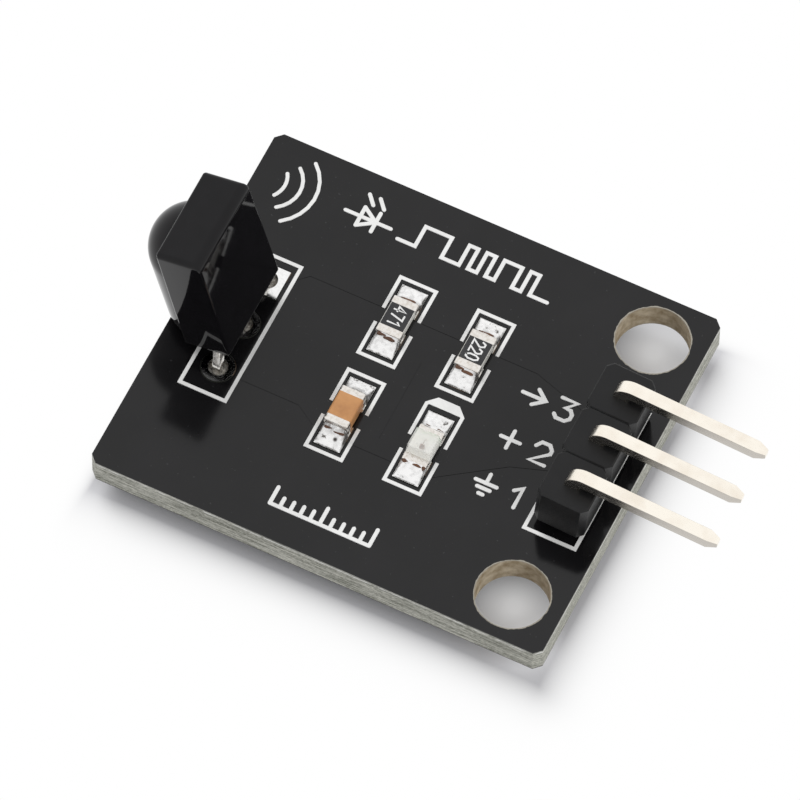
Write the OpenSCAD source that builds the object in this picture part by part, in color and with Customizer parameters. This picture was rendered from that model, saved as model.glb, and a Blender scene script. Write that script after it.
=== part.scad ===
// Infrared receiver module: a small two-sided circuit board with a leaning receiver at one end,
// four 0805 chips in its middle and a three-way right-angle pin header at the other end.
// The origin lies on the board's underside, midway between the two mounting holes.
// X runs along the board towards the pins, and Z points up from the component side.

/* [Board] */
// Length of the board, along X
board_l = 22.7; // [20:0.1:34]
// Width of the board, along Y
board_w = 19.28; // [18:0.01:30]
// Thickness of the board with both solder masks
board_t = 1.5; // [1:0.1:2.4]
// Size of the cut at each corner of the board
corner_cut = 0.35; // [0.1:0.05:1.2]
// Thickness of each solder mask
mask_t = 0.04; // [0.03:0.01:0.08]
// Thickness of the copper tracks
copper_t = 0.02; // [0.02:0.01:0.07]
// Width of the copper tracks
track_w = 0.75; // [0.3:0.05:0.8]
// Gap between a pad and the solder mask round it
mask_gap = 0.05; // [0.03:0.01:0.1]
// Step of the grid that the tracks turn on
grid = 0.5; // [0.4:0.01:0.6]

/* [Mounting holes] */
// Diameter of the two mounting holes
hole_d = 3.48; // [2:0.01:3.6]
// Distance between the two mounting holes, along Y
hole_spacing = 14.68; // [14.4:0.01:15]
// Distance from the holes' line to the board's end under the pins
hole_edge = 2.475; // [2.2:0.005:3]

/* [Chips] */
// Length of an 0805 chip, along Y
chip_l = 2; // [1.8:0.05:2.2]
// Width of an 0805 chip, along X
chip_w = 1.25; // [1:0.01:1.29]
// Height of a chip resistor
resistor_h = 0.5; // [0.35:0.05:0.9]
// Height of the chip capacitor
capacitor_h = 0.85; // [0.5:0.05:1.3]
// Height of the lamp's base
lamp_base_h = 0.3; // [0.2:0.05:0.6]
// Height of the lamp's lens above its base
lamp_lens_h = 0.5; // [0.3:0.05:0.9]
// Thickness of the metal at a chip's ends
cap_t = 0.04; // [0.02:0.01:0.08]
// Length of a chip's metal ends, along Y
cap_l = 0.4; // [0.25:0.01:0.5]
// Distance from the mounting holes' line back to the middle of the chips
chips_back = 8.865; // [8:0.005:10]
// Distance from the board's middle line sideways to the middle of the chips
chips_side = 0.3; // [-0.5:0.05:0.5]
// Distance between the two columns of chips
column_spacing = 3.96; // [3:0.01:5]
// Distance between the two rows of chips
row_spacing = 5.4; // [4.6:0.05:6]
// Width of a chip's pad, along X
pad_w = 1.3; // [1.29:0.01:1.4]
// Distance from a chip's middle to the outer end of its pad
pad_out = 1.9; // [1.6:0.05:2]
// Distance from a chip's middle to the inner end of its pad
pad_in = 0.45; // [0.4:0.01:0.55]
// Thickness of a tinned pad
pad_t = 0.08; // [0.08:0.01:0.12]

/* [Receiver] */
// Distance from the board's end to the row of the receiver's holes
receiver_edge = 3.1; // [3:0.05:3.6]
// Distance from the board's middle line sideways to the receiver's middle hole
receiver_side = -0.16; // [-0.5:0.01:0.5]
// Width of the receiver's body at its foot, along Y
body_w = 5.15; // [4.9:0.05:7]
// How much narrower the body is at its top than at its foot
body_taper = 0.15; // [0:0.05:0.6]
// Height of the receiver's body along its back
body_h = 6.9; // [6.6:0.05:9]
// Depth of the slab behind the lens at its foot
body_d = 2.35; // [2.1:0.05:3]
// How much thinner the slab is at its top than at its foot
slab_taper = 0.06; // [0:0.02:0.4]
// Radius of the body's edges
body_r = 0.14; // [0.1:0.02:0.4]
// Radius of the lens
lens_r = 2.1; // [1.5:0.05:2.2]
// How far the lens stands out of the slab's foot
lens_out = 1.9; // [1.5:0.05:2]
// Height of the lens's spherical top above the body's foot
lens_h = 4.3; // [3:0.05:4.4]
// Lean of the body towards the board's end, in degrees
body_lean = 13; // [0:1:16]
// Gap between the board and the back of the body's foot
body_lift = 1.4; // [1.2:0.05:3]
// Distance from the row of holes forward to the back of the body's foot
body_back = 0.6; // [0.5:0.05:0.8]
// Spacing of the receiver's holes and of the header's pins
pitch = 2.54; // [2.54:0.01:2.6]
// Spacing of the leads where they leave the body
lead_spacing = 2.1; // [1.9:0.05:2.15]
// Width of a lead, along Y
lead_w = 0.5; // [0.3:0.05:0.55]
// Thickness of a lead, along X
lead_t = 0.4; // [0.25:0.05:0.5]
// Distance from the body's back to the middle of its leads
lead_depth = 0.8; // [0.7:0.05:1]
// Length of a lead inside the body
lead_grip = 1.2; // [0.5:0.1:3]
// Diameter of the receiver's plated holes
lead_hole_d = 0.95; // [0.85:0.05:1.1]
// Diameter of the receiver's round pads, and the side of its square pad
lead_pad_d = 1.58; // [1.4:0.02:1.8]

/* [Header] */
// Distance from the board's end to the row of the header's pins
header_edge = 2.15; // [2:0.05:2.3]
// Distance from the board's middle line sideways to the header's middle pin
header_side = 0.12; // [-0.5:0.01:0.5]
// Side of a square header pin
pin_s = 0.64; // [0.5:0.01:0.66]
// Diameter of the header's plated holes
pin_hole_d = 1.06; // [1.05:0.01:1.2]
// Diameter of the header's pads
pin_pad_d = 1.7; // [1.5:0.05:1.9]
// Width of the header's plastic body, along X
strip_w = 2.5; // [2:0.05:3]
// Height of the header's plastic body
strip_h = 2.5; // [1.5:0.05:3.5]
// Depth of the notches between the ways of the header
strip_notch = 0.28; // [0.1:0.02:0.6]
// Depth of the scored line across the top of the header
strip_score = 0.06; // [0.05:0.01:0.2]
// Gap between the board and the header's plastic body
strip_lift = 0.5; // [0.3:0.05:1.5]
// Height of a pin's straight part above the plastic body
pin_clear = 0.03; // [0.02:0.01:3]
// Outer radius of the bend in a pin
pin_bend = 0.9; // [0.8:0.05:1.5]
// Distance from the pins' standing part to their tips
pin_reach = 7.2; // [4:0.05:14]
// Length of the taper at a pin's tip
tip_l = 0.5; // [0.2:0.05:1]
// Lean of the header towards the board's end, in degrees
header_lean = 4; // [0:0.5:4]

/* [Solder] */
// How far the leads and pins reach below the board
tail_l = 1.25; // [0.9:0.05:2]
// How far the solder climbs the tails below the board
joint_h = 0.95; // [0.4:0.05:1.4]
// Depth of the solder's surface below the pad on the component side
sink = 0.35; // [0.1:0.05:0.8]
// Thickness of the plating in a hole
barrel_t = 0.05; // [0.03:0.01:0.1]

/* [Legend] */
// Width of the printed lines
ink_w = 0.17; // [0.12:0.01:0.3]
// Length of the printed frames round the receiver's and the header's rows
row_frame_l = 7.8; // [7.6:0.05:8.4]
// Width of the printed frame round the receiver's row
receiver_frame_w = 2.31; // [2.2:0.01:2.8]
// Distance from the receiver's row back to the middle of its frame
receiver_frame_back = 0.06; // [0:0.01:0.15]
// Distance from the receiver's middle hole sideways to the middle of its frame
receiver_frame_side = 0.12; // [0:0.01:0.2]
// Width of the printed frame round the header
header_frame_w = 2.55; // [2.3:0.01:3]
// Distance from the header's row back to the middle of its frame
header_frame_back = 0.08; // [0:0.01:0.15]
// Distance from the header's middle pin sideways to the middle of its frame
header_frame_side = 0.25; // [0:0.01:0.3]
// Distance from the board's end to the first signal arc
arcs_edge = 1.59; // [1.2:0.01:2]
// Distance from the board's middle line sideways to the signal arcs
arcs_side = 7.15; // [6.9:0.05:7.3]
// Distance from one signal arc to the next
arc_step = 0.77; // [0.5:0.01:0.9]
// Turn of the signal arcs towards the near side, in degrees
arc_turn = 2; // [0:0.5:6]
// Thickness of the printed ink
ink_t = 0.05; // [0.04:0.01:0.1]
// Distance between a chip's middle and the ends of its printed frame
frame_out = 2.2; // [2.12:0.01:2.4]
// Distance between a chip's middle and the sides of its printed frame
frame_side = 0.9; // [0.85:0.01:1]
// Half the length of the gap in the sides of a printed frame
frame_gap = 0.4; // [0.2:0.05:1]

/* [Hidden] */

mask_black = [0.09, 0.09, 0.1];
laminate_green = [0.62, 0.64, 0.55];
copper_red = [0.72, 0.45, 0.3];
tin = [0.82, 0.82, 0.8];
nickel = [0.85, 0.81, 0.74];
ink_white = [0.95, 0.95, 0.93];
plastic_black = [0.06, 0.06, 0.065];

big = 100;
over = 0.01;

// The board spans X from its receiver end to its header end, and Y about zero.
end_x = hole_edge;
start_x = hole_edge - board_l;
top_z = board_t;
core_top = board_t - mask_t;
core_bottom = mask_t;
mid_z = board_t / 2;

// Places of the parts on the board, from the mounting holes' line.
receiver_x = start_x + receiver_edge;
header_x = end_x - header_edge;
columns = [-chips_back - column_spacing / 2, -chips_back + column_spacing / 2];
rows = [chips_side + row_spacing / 2, chips_side - row_spacing / 2];
resistor_1_at = [columns[0], rows[0]];
resistor_2_at = [columns[1], rows[0]];
capacitor_at = [columns[0], rows[1]];
lamp_at = [columns[1], rows[1]];
chips_at = [resistor_1_at, resistor_2_at, capacitor_at, lamp_at];
receiver_pads = [for (k = [1, 0, -1]) [receiver_x, receiver_side + k * pitch]];
header_pads = [for (k = [1, 0, -1]) [header_x, header_side + k * pitch]];
chip_z = core_top + pad_t;
// A track meets a chip's pad just outside the pad's inner end.
pad_mid = (pad_in + pad_out) / 2;
track_off = pad_in + track_w / 2 + over;

// Routes of the tracks. The signal runs from the receiver's far pad past both resistors.
signal_route = [
  receiver_pads[0],
  receiver_pads[0] + [3 * grid, resistor_1_at[1] + track_off - receiver_pads[0][1]],
  resistor_1_at + [0, track_off],
  resistor_2_at + [0, track_off],
  resistor_2_at + [6 * grid, track_off],
  header_pads[0] + [-grid, 0],
  header_pads[0]
];
// The supply runs from the receiver's near pad past the capacitor and the lamp to the middle pin.
supply_route = [
  receiver_pads[2],
  receiver_pads[2] + [grid, grid / 2],
  [capacitor_at[0] - 4 * grid, receiver_pads[2][1] + grid / 2],
  capacitor_at + [-1.5 * grid, -track_off],
  capacitor_at + [0, -track_off],
  lamp_at + [0, -track_off],
  lamp_at + [1.5 * grid, -track_off],
  header_pads[1] + [-7 * grid, -2.5 * grid],
  header_pads[1]
];
// A branch feeds the first resistor from the supply.
branch_route = [
  resistor_1_at + [0, -track_off],
  resistor_1_at + [1.5 * grid, -track_off],
  resistor_1_at + [3 * grid, -track_off - 1.5 * grid],
  [resistor_1_at[0] + 3 * grid, capacitor_at[1] - track_off]
];
// The second resistor feeds the lamp.
lamp_route = [resistor_2_at + [0, -track_off], lamp_at + [0, track_off]];
// The ground runs on the underside, from the receiver's middle pad to the near pin.
ground_drop = receiver_pads[1][1] - header_pads[2][1];
ground_route = [
  receiver_pads[1],
  [header_pads[2][0] - 6 * grid - ground_drop, receiver_pads[1][1]],
  [header_pads[2][0] - 6 * grid, header_pads[2][1]],
  header_pads[2]
];

function unit(v) = v / norm(v);
function turned(v) = [-v[1], v[0]];
// The point beside corner i of a route, w / 2 to its left, or to its right where w is negative.
function beside(route, i, w) =
  let(
    last = len(route) - 1,
    ahead = turned(unit(route[min(i + 1, last)] - route[min(i, last - 1)])),
    behind = turned(unit(route[max(i, 1)] - route[max(i - 1, 0)])),
    both = ahead + behind
  )
  route[i] + both * w / (both * both);

// Outline of the board with its four cut corners.
module board_outline() {
  half = board_w / 2;
  c = corner_cut;
  polygon([
    [start_x + c, -half], [end_x - c, -half], [end_x, c - half], [end_x, half - c],
    [end_x - c, half], [start_x + c, half], [start_x, half - c], [start_x, c - half]
  ]);
}

module mounting_holes() {
  for (s = [-1, 1]) translate([0, s * hole_spacing / 2]) circle(d = hole_d, $fn = 64);
}

// A track or a printed line of width w along a route, with mitred corners.
module run(route, w) {
  last = len(route) - 1;
  polygon(concat(
    [for (i = [0 : last]) beside(route, i, w)],
    [for (i = [last : -1 : 0]) beside(route, i, -w)]
  ));
}

// A printed line of width w with round joints along a list of points.
module band(points, w) {
  for (i = [0 : len(points) - 2]) {
    a = points[i];
    step = points[i + 1] - a;
    translate(a) rotate(atan2(step[1], step[0])) translate([0, -w / 2]) square([norm(step), w]);
  }
  for (p = points) translate(p) circle(d = w, $fn = 24);
}

// The two pads of one chip, grown by g.
module chip_pads_outline(g) {
  for (s = [-1, 1])
    translate([-pad_w / 2 - g, s * pad_mid - (pad_out - pad_in) / 2 - g])
      square([pad_w + 2 * g, pad_out - pad_in + 2 * g]);
}

// A through-hole pad, round or square, grown by g.
module lead_pad_outline(d, is_square, g) {
  if (is_square) square(d + 2 * g, center = true);
  else circle(d = d + 2 * g, $fn = 48);
}

// All the through-hole pads, grown by g.
module lead_pads_outline(g) {
  for (i = [0 : 2]) translate(receiver_pads[i]) lead_pad_outline(lead_pad_d, i == 0, g);
  for (i = [0 : 2]) translate(header_pads[i]) lead_pad_outline(pin_pad_d, i == 0, g);
}

module top_pads_outline(g) {
  lead_pads_outline(g);
  for (p = chips_at) translate(p) chip_pads_outline(g);
}

module top_routes(w) {
  run(signal_route, w);
  run(supply_route, w);
  run(branch_route, w);
  run(lamp_route, w);
}

// The holes that the plated barrels line.
module barrel_holes() {
  for (p = receiver_pads) translate(p) circle(d = lead_hole_d + 2 * barrel_t, $fn = 48);
  for (p = header_pads) translate(p) circle(d = pin_hole_d + 2 * barrel_t, $fn = 48);
}

module laminate() {
  color(laminate_green)
    translate([0, 0, core_bottom])
      linear_extrude(core_top - core_bottom)
        difference() {
          board_outline();
          mounting_holes();
          barrel_holes();
        }
}

module tracks_top() {
  color(copper_red)
    translate([0, 0, core_top])
      linear_extrude(copper_t)
        difference() {
          top_routes(track_w);
          top_pads_outline(0);
        }
}

module tracks_bottom() {
  color(copper_red)
    translate([0, 0, core_bottom - copper_t])
      linear_extrude(copper_t)
        difference() {
          run(ground_route, track_w);
          lead_pads_outline(0);
        }
}

// The mask is a thin sheet that rises over each track.
module mask_top() {
  color(mask_black)
    difference() {
      translate([0, 0, core_top]) {
        linear_extrude(mask_t) board_outline();
        linear_extrude(mask_t + copper_t) top_routes(track_w + 2 * mask_t);
      }
      translate([0, 0, core_top - over]) linear_extrude(copper_t + over) top_routes(track_w);
      translate([0, 0, core_top - over]) linear_extrude(big) {
        mounting_holes();
        top_pads_outline(mask_gap);
      }
    }
}

module mask_bottom() {
  color(mask_black)
    difference() {
      union() {
        linear_extrude(mask_t) board_outline();
        translate([0, 0, -copper_t])
          linear_extrude(mask_t + copper_t) run(ground_route, track_w + 2 * mask_t);
      }
      translate([0, 0, core_bottom - copper_t]) linear_extrude(copper_t + over) run(ground_route, track_w);
      translate([0, 0, -big / 2]) linear_extrude(big) {
        mounting_holes();
        lead_pads_outline(mask_gap);
      }
    }
}

// Printed frame round one chip, open at the middle of each side.
module chip_frame() {
  for (s = [-1, 1])
    run([
      [-frame_side, s * frame_gap], [-frame_side, s * frame_out],
      [frame_side, s * frame_out], [frame_side, s * frame_gap]
    ], ink_w);
}

// The lamp's frame has cut corners and a bar at the end of its minus side.
module lamp_frame() {
  cut = 0.4;
  run([
    [-frame_side, -frame_gap], [-frame_side, -frame_out],
    [frame_side, -frame_out], [frame_side, -frame_gap]
  ], ink_w);
  run([
    [-frame_side, frame_gap], [-frame_side, frame_out], [-frame_side + cut, frame_out + cut],
    [frame_side - cut, frame_out + cut], [frame_side, frame_out], [frame_side, frame_gap]
  ], ink_w);
  polygon([
    [-frame_side, frame_out], [frame_side, frame_out],
    [frame_side - cut, frame_out + cut], [-frame_side + cut, frame_out + cut]
  ]);
}

// Three growing arcs that stand for the incoming signal. Arc k touches X = k steps.
module signal_arcs() {
  radii = [1.5 * arc_step, 1.9 * arc_step, 2.85 * arc_step];
  spreads = [34, 53, 52];
  for (k = [0 : 2]) {
    turns = [for (i = [-4 : 4]) spreads[k] * i / 4];
    band([for (a = turns) [k * arc_step - radii[k] * (1 - cos(a)), radii[k] * sin(a)]], ink_w);
  }
}

// A printed frame, w along X and l along Y to the middle of its lines, about its middle.
module closed_frame(w, l) {
  difference() {
    square([w + ink_w, l + ink_w], center = true);
    square([w - ink_w, l - ink_w], center = true);
  }
}

module legend_outline() {
  for (p = [resistor_1_at, resistor_2_at, capacitor_at]) translate(p) chip_frame();
  translate(lamp_at) lamp_frame();
  translate([receiver_x - receiver_frame_back, receiver_side - receiver_frame_side])
    closed_frame(receiver_frame_w, row_frame_l);
  translate([header_x - header_frame_back, header_side - header_frame_side])
    closed_frame(header_frame_w, row_frame_l);
  translate([start_x + arcs_edge, arcs_side]) rotate(-arc_turn) signal_arcs();
}

module legend() {
  color(ink_white)
    translate([0, 0, top_z])
      difference() {
        linear_extrude(ink_t)
          difference() {
            legend_outline();
            top_pads_outline(mask_gap);
          }
        translate([0, 0, -over])
          linear_extrude(copper_t + over) top_routes(track_w + 2 * mask_t);
      }
}

// Pads of one chip.
module chip_pads(at) {
  color(tin)
    translate([at[0], at[1], core_top])
      linear_extrude(pad_t) chip_pads_outline(0);
}

// Metal caps that wrap both ends of a chip of height h.
module chip_ends(at, h) {
  color(tin)
    translate([at[0], at[1], chip_z])
      for (s = [-1, 1])
        rotate(90 - 90 * s)
          difference() {
            translate([-chip_w / 2, chip_l / 2 - cap_l, 0]) cube([chip_w, cap_l, h]);
            translate([-chip_w / 2 - 1, chip_l / 2 - cap_l - over, cap_t])
              cube([chip_w + 2, cap_l - cap_t + over, h - 2 * cap_t]);
          }
}

// The block that the two caps hold.
module chip_block(at, h, tint) {
  length = chip_l - 2 * cap_t;
  color(tint)
    translate([at[0] - chip_w / 2, at[1] - length / 2, chip_z + cap_t])
      cube([chip_w, length, h - 2 * cap_t]);
}

// Hollow wedge of solder beyond each end of a chip, from its cap down to its pad.
module chip_solder(at, climb) {
  run = pad_out - chip_l / 2;
  base = 0.06;
  rise = climb - base;
  // The hollow is an arc through the wedge's top and its outer foot.
  chord = norm([run, rise]);
  sag = 0.18 * min(chord, 2.2 * rise);
  r = (chord * chord / 4 + sag * sag) / (2 * sag);
  mid = [run / 2, base + rise / 2];
  along = [rise, run] / chord;
  centre = mid + along * (r - sag);
  color(tin)
    translate([at[0], at[1], chip_z])
      for (s = [-1, 1])
        rotate(90 - 90 * s)
          translate([chip_w / 2, chip_l / 2, 0])
            rotate([90, 0, -90])
              linear_extrude(chip_w)
                translate([-run, 0])
                  solder_wedge(run, base, rise, centre, r);
}

// Side view of the wedge, its high end at X = run.
module solder_wedge(run, base, rise, centre, r) {
  difference() {
    polygon([[0, 0], [run, 0], [run, base + rise], [0, base]]);
    translate([run - centre[0], centre[1]]) circle(r = r, $fn = 96);
  }
}

module resistor_glaze(at) {
  length = chip_l - 2 * cap_l;
  color(plastic_black)
    translate([at[0] - chip_w / 2 + 0.04, at[1] - length / 2, chip_z + resistor_h - cap_t])
      cube([chip_w - 0.08, length, cap_t]);
}

lens_l = chip_l - 2 * cap_l;

// The lamp's die sits on its base, inside the lens.
module die_shape() {
  translate([-0.14, -0.14, lamp_base_h - cap_t]) cube([0.28, 0.28, 0.12]);
}

module lamp_lens() {
  top = lens_l - 0.16;
  color([0.86, 0.9, 0.78, 0.8])
    translate([lamp_at[0], lamp_at[1], chip_z])
      difference() {
        translate([chip_w / 2, 0, lamp_base_h - cap_t])
          rotate([90, 0, -90])
            linear_extrude(chip_w)
              polygon([
                [-lens_l / 2, 0], [lens_l / 2, 0], [lens_l / 2, cap_t],
                [top / 2, lamp_lens_h + cap_t], [-top / 2, lamp_lens_h + cap_t], [-lens_l / 2, cap_t]
              ]);
        die_shape();
      }
}

module lamp_die() {
  color([0.55, 0.35, 0.12]) translate([lamp_at[0], lamp_at[1], chip_z]) die_shape();
}

// The receiver's own frame: X points back towards the chips, Z climbs its back face,
// and the origin is the middle of the back's foot.
module in_receiver_frame() {
  translate([receiver_x + body_back, receiver_side, top_z + body_lift]) rotate([0, -body_lean, 0]) children();
}

// One ball of the body's corners: u is 0 at the foot and 1 at the top.
module corner_ball(front, side, u) {
  depth = body_d - slab_taper * u;
  half = (body_w - body_taper * u) / 2;
  x = front ? body_r - depth : -body_r;
  translate([x, side * (half - body_r), body_r + u * (body_h - 2 * body_r)]) sphere(r = body_r, $fn = 32);
}

module receiver_slab() {
  hull()
    for (front = [false, true], side = [-1, 1], u = [0, 1]) corner_ball(front, side, u);
}

// Thumb-shaped lens: a half-round column that ends in a ball.
module receiver_lens() {
  intersection() {
    translate([lens_r - body_d - lens_out, 0, 0]) {
      cylinder(r = lens_r, h = lens_h, $fn = 96);
      translate([0, 0, lens_h]) sphere(r = lens_r, $fn = 96);
    }
    translate([-big - body_d / 2, -big / 2, 0]) cube([big, big, big]);
  }
}

// The straight root of a lead, held in the body and standing a little out of it.
module lead_root(k) {
  stub = 0.1;
  translate([-lead_depth - lead_t / 2, k * lead_spacing - lead_w / 2, -stub])
    cube([lead_t, lead_w, lead_grip + stub]);
}

module receiver_body() {
  color(plastic_black)
    in_receiver_frame()
      difference() {
        union() {
          receiver_slab();
          receiver_lens();
        }
        for (k = [-1, 0, 1]) lead_root(k);
      }
}

// A lead is upright up to this height and then slants to the body.
lead_straight = board_t + 0.6 * lead_w;

// The straight end of a lead, through the board, in the board's frame.
module lead_post(at) {
  translate([at[0] - lead_t / 2, at[1] - lead_w / 2, -tail_l]) cube([lead_t, lead_w, tail_l + lead_straight]);
}

module receiver_lead(i) {
  k = 1 - i;
  slice = 0.02;
  color(nickel) {
    in_receiver_frame() lead_root(k);
    lead_post(receiver_pads[i]);
    hull() {
      in_receiver_frame()
        translate([-lead_depth - lead_t / 2, k * lead_spacing - lead_w / 2, -0.1])
          cube([lead_t, lead_w, slice]);
      translate([receiver_pads[i][0] - lead_t / 2, receiver_pads[i][1] - lead_w / 2, lead_straight - slice])
        cube([lead_t, lead_w, slice]);
    }
  }
}

// Plated barrel with a pad on each side of the laminate.
module eyelet(at, hole, pad, is_square) {
  color(tin)
    translate([at[0], at[1], 0])
      difference() {
        union() {
          translate([0, 0, core_top]) linear_extrude(pad_t) lead_pad_outline(pad, is_square, 0);
          translate([0, 0, core_bottom]) cylinder(d = hole + 2 * barrel_t, h = core_top - core_bottom, $fn = 48);
          translate([0, 0, core_bottom - pad_t]) linear_extrude(pad_t) lead_pad_outline(pad, is_square, 0);
        }
        translate([0, 0, -1]) cylinder(d = hole, h = board_t + 2, $fn = 48);
      }
}

// Solder of one plated hole: a hollow cone below, and a plug that stops short of the pad above.
module joint(at, hole, pad) {
  foot = core_bottom - pad_t;
  tip = foot - joint_h;
  neck = hole / 2 - 0.1;
  spread = pad / 2 - 0.06 - neck;
  steps = 6;
  color(tin)
    translate([at[0], at[1], 0])
      rotate_extrude($fn = 48)
        polygon(concat(
          [[0, tip]],
          [for (i = [0 : steps]) [neck + spread * pow(i / steps, 2.2), tip + joint_h * i / steps]],
          [[hole / 2, foot], [hole / 2, core_top + pad_t - sink], [0, core_top + pad_t - sink]]
        ));
}

module receiver_joint(i) {
  difference() {
    joint(receiver_pads[i], lead_hole_d, lead_pad_d);
    lead_post(receiver_pads[i]);
  }
}

// The header's own frame: it leans about the board's middle plane.
module in_header_frame() {
  translate([header_x, header_side, mid_z]) rotate([0, header_lean, 0]) children();
}

strip_z = mid_z + strip_lift;
// The lowest corner of a leaning tail is level with the receiver's straight tails.
pin_foot = (pin_s / 2 * sin(header_lean) - mid_z - tail_l) / cos(header_lean);
pin_top = strip_z + strip_h + pin_clear + pin_bend;

// Standing part of pin i, from its tail to its bend.
module pin_post(i) {
  translate([-pin_s / 2, (1 - i) * pitch - pin_s / 2, pin_foot])
    cube([pin_s, pin_s, pin_top - pin_bend - pin_foot]);
}

module header_pin(i) {
  inner = pin_bend - pin_s;
  lying = pin_reach - tip_l - (pin_bend - pin_s / 2);
  color(nickel)
    in_header_frame() {
      pin_post(i);
      translate([pin_bend - pin_s / 2, (1 - i) * pitch, pin_top - pin_bend]) {
        rotate([90, 0, 0])
          rotate([0, 0, 90])
            translate([0, 0, -pin_s / 2])
              rotate_extrude(angle = 90, $fn = 64) translate([inner, 0]) square([pin_s, pin_s]);
        translate([0, -pin_s / 2, inner]) cube([lying, pin_s, pin_s]);
        translate([lying, 0, inner + pin_s / 2]) pin_tip();
      }
    }
}

// Four-sided taper at the end of a pin.
module pin_tip() {
  rotate([0, 90, 0])
    linear_extrude(height = tip_l, scale = 0.5) square(pin_s, center = true);
}

// One way of the header seen from above, with its four corners cut.
module way_outline(n) {
  a = strip_w / 2;
  b = pitch / 2;
  polygon([
    [-a, n - b], [n - a, -b], [a - n, -b], [a, n - b],
    [a, b - n], [a - n, b], [n - a, b], [-a, b - n]
  ]);
}

module header_body() {
  color(plastic_black)
    in_header_frame()
      difference() {
        translate([0, 0, strip_z])
          linear_extrude(strip_h)
            for (k = [-1, 0, 1]) translate([0, k * pitch]) way_outline(strip_notch);
        for (k = [-1, 1])
          translate([0, k * pitch / 2, strip_z + strip_h])
            rotate([45, 0, 0]) cube([big, strip_score * sqrt(2), strip_score * sqrt(2)], center = true);
        for (i = [0 : 2]) pin_post(i);
      }
}

module header_joint(i) {
  difference() {
    joint(header_pads[i], pin_hole_d, pin_pad_d);
    in_header_frame() pin_post(i);
  }
}

laminate();
mask_top();
mask_bottom();
tracks_top();
tracks_bottom();
legend();
chip_pads(resistor_1_at);  // resistor_1_pads
chip_block(resistor_1_at, resistor_h, "white");  // resistor_1_body
resistor_glaze(resistor_1_at);  // resistor_1_glaze
chip_ends(resistor_1_at, resistor_h);  // resistor_1_ends
chip_solder(resistor_1_at, 0.9 * resistor_h);  // resistor_1_solder
chip_pads(resistor_2_at);  // resistor_2_pads
chip_block(resistor_2_at, resistor_h, "white");  // resistor_2_body
resistor_glaze(resistor_2_at);  // resistor_2_glaze
chip_ends(resistor_2_at, resistor_h);  // resistor_2_ends
chip_solder(resistor_2_at, 0.9 * resistor_h);  // resistor_2_solder
chip_pads(capacitor_at);  // capacitor_pads
chip_block(capacitor_at, capacitor_h, [0.6, 0.4, 0.26]);  // capacitor_body
chip_ends(capacitor_at, capacitor_h);  // capacitor_ends
chip_solder(capacitor_at, 0.75 * capacitor_h);  // capacitor_solder
chip_pads(lamp_at);  // lamp_pads
chip_block(lamp_at, lamp_base_h, [0.85, 0.88, 0.78]);  // lamp_base
chip_ends(lamp_at, lamp_base_h);  // lamp_ends
lamp_lens();
lamp_die();
chip_solder(lamp_at, 0.95 * lamp_base_h);  // lamp_solder
receiver_body();
receiver_lead(0);  // receiver_lead_1
receiver_lead(1);  // receiver_lead_2
receiver_lead(2);  // receiver_lead_3
eyelet(receiver_pads[0], lead_hole_d, lead_pad_d, true);  // receiver_eyelet_1
eyelet(receiver_pads[1], lead_hole_d, lead_pad_d, false);  // receiver_eyelet_2
eyelet(receiver_pads[2], lead_hole_d, lead_pad_d, false);  // receiver_eyelet_3
receiver_joint(0);  // receiver_joint_1
receiver_joint(1);  // receiver_joint_2
receiver_joint(2);  // receiver_joint_3
header_body();
header_pin(0);  // header_pin_1
header_pin(1);  // header_pin_2
header_pin(2);  // header_pin_3
eyelet(header_pads[0], pin_hole_d, pin_pad_d, true);  // header_eyelet_1
eyelet(header_pads[1], pin_hole_d, pin_pad_d, false);  // header_eyelet_2
eyelet(header_pads[2], pin_hole_d, pin_pad_d, false);  // header_eyelet_3
header_joint(0);  // header_joint_1
header_joint(1);  // header_joint_2
header_joint(2);  // header_joint_3
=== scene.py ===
"""Studio picture of the infrared receiver module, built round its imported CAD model.

All sizes are in millimetres until a mesh is made, and each mesh is then scaled to metres.
The CAD model's frame is kept: the origin lies on the board's underside midway between its
two mounting holes, X runs towards the header pins and Z points up.
"""

import logging
import math
from dataclasses import dataclass, field
from enum import Enum
from typing import Dict, List, Optional, Sequence, Tuple

import bmesh
import bpy
import numpy as np
from mathutils import Matrix


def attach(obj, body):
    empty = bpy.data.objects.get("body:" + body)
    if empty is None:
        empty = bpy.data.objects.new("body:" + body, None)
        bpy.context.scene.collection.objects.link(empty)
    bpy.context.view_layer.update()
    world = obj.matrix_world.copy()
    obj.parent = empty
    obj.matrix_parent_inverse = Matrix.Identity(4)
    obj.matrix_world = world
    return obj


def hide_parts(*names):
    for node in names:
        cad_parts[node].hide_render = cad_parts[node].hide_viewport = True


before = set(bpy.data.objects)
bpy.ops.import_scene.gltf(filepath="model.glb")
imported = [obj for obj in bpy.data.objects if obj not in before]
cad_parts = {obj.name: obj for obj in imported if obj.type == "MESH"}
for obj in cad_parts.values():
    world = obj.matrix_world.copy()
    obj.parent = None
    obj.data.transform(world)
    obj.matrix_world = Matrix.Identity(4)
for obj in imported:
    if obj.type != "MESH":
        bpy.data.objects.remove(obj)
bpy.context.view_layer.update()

MM = 0.001
BODY = "root"
LOG = logging.getLogger("receiver_module")

Colour = Tuple[float, float, float]


class Turn(Enum):
    """Which way round a grid's faces are wound."""

    OUT = 1
    IN = -1


class Mark(Enum):
    """The generic marks that are printed on the board."""

    PULSES = "pulses"
    PHOTODIODE = "photodiode"
    SCALE = "scale"
    ARROW = "arrow"
    PLUS = "plus"
    GROUND = "ground"


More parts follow.
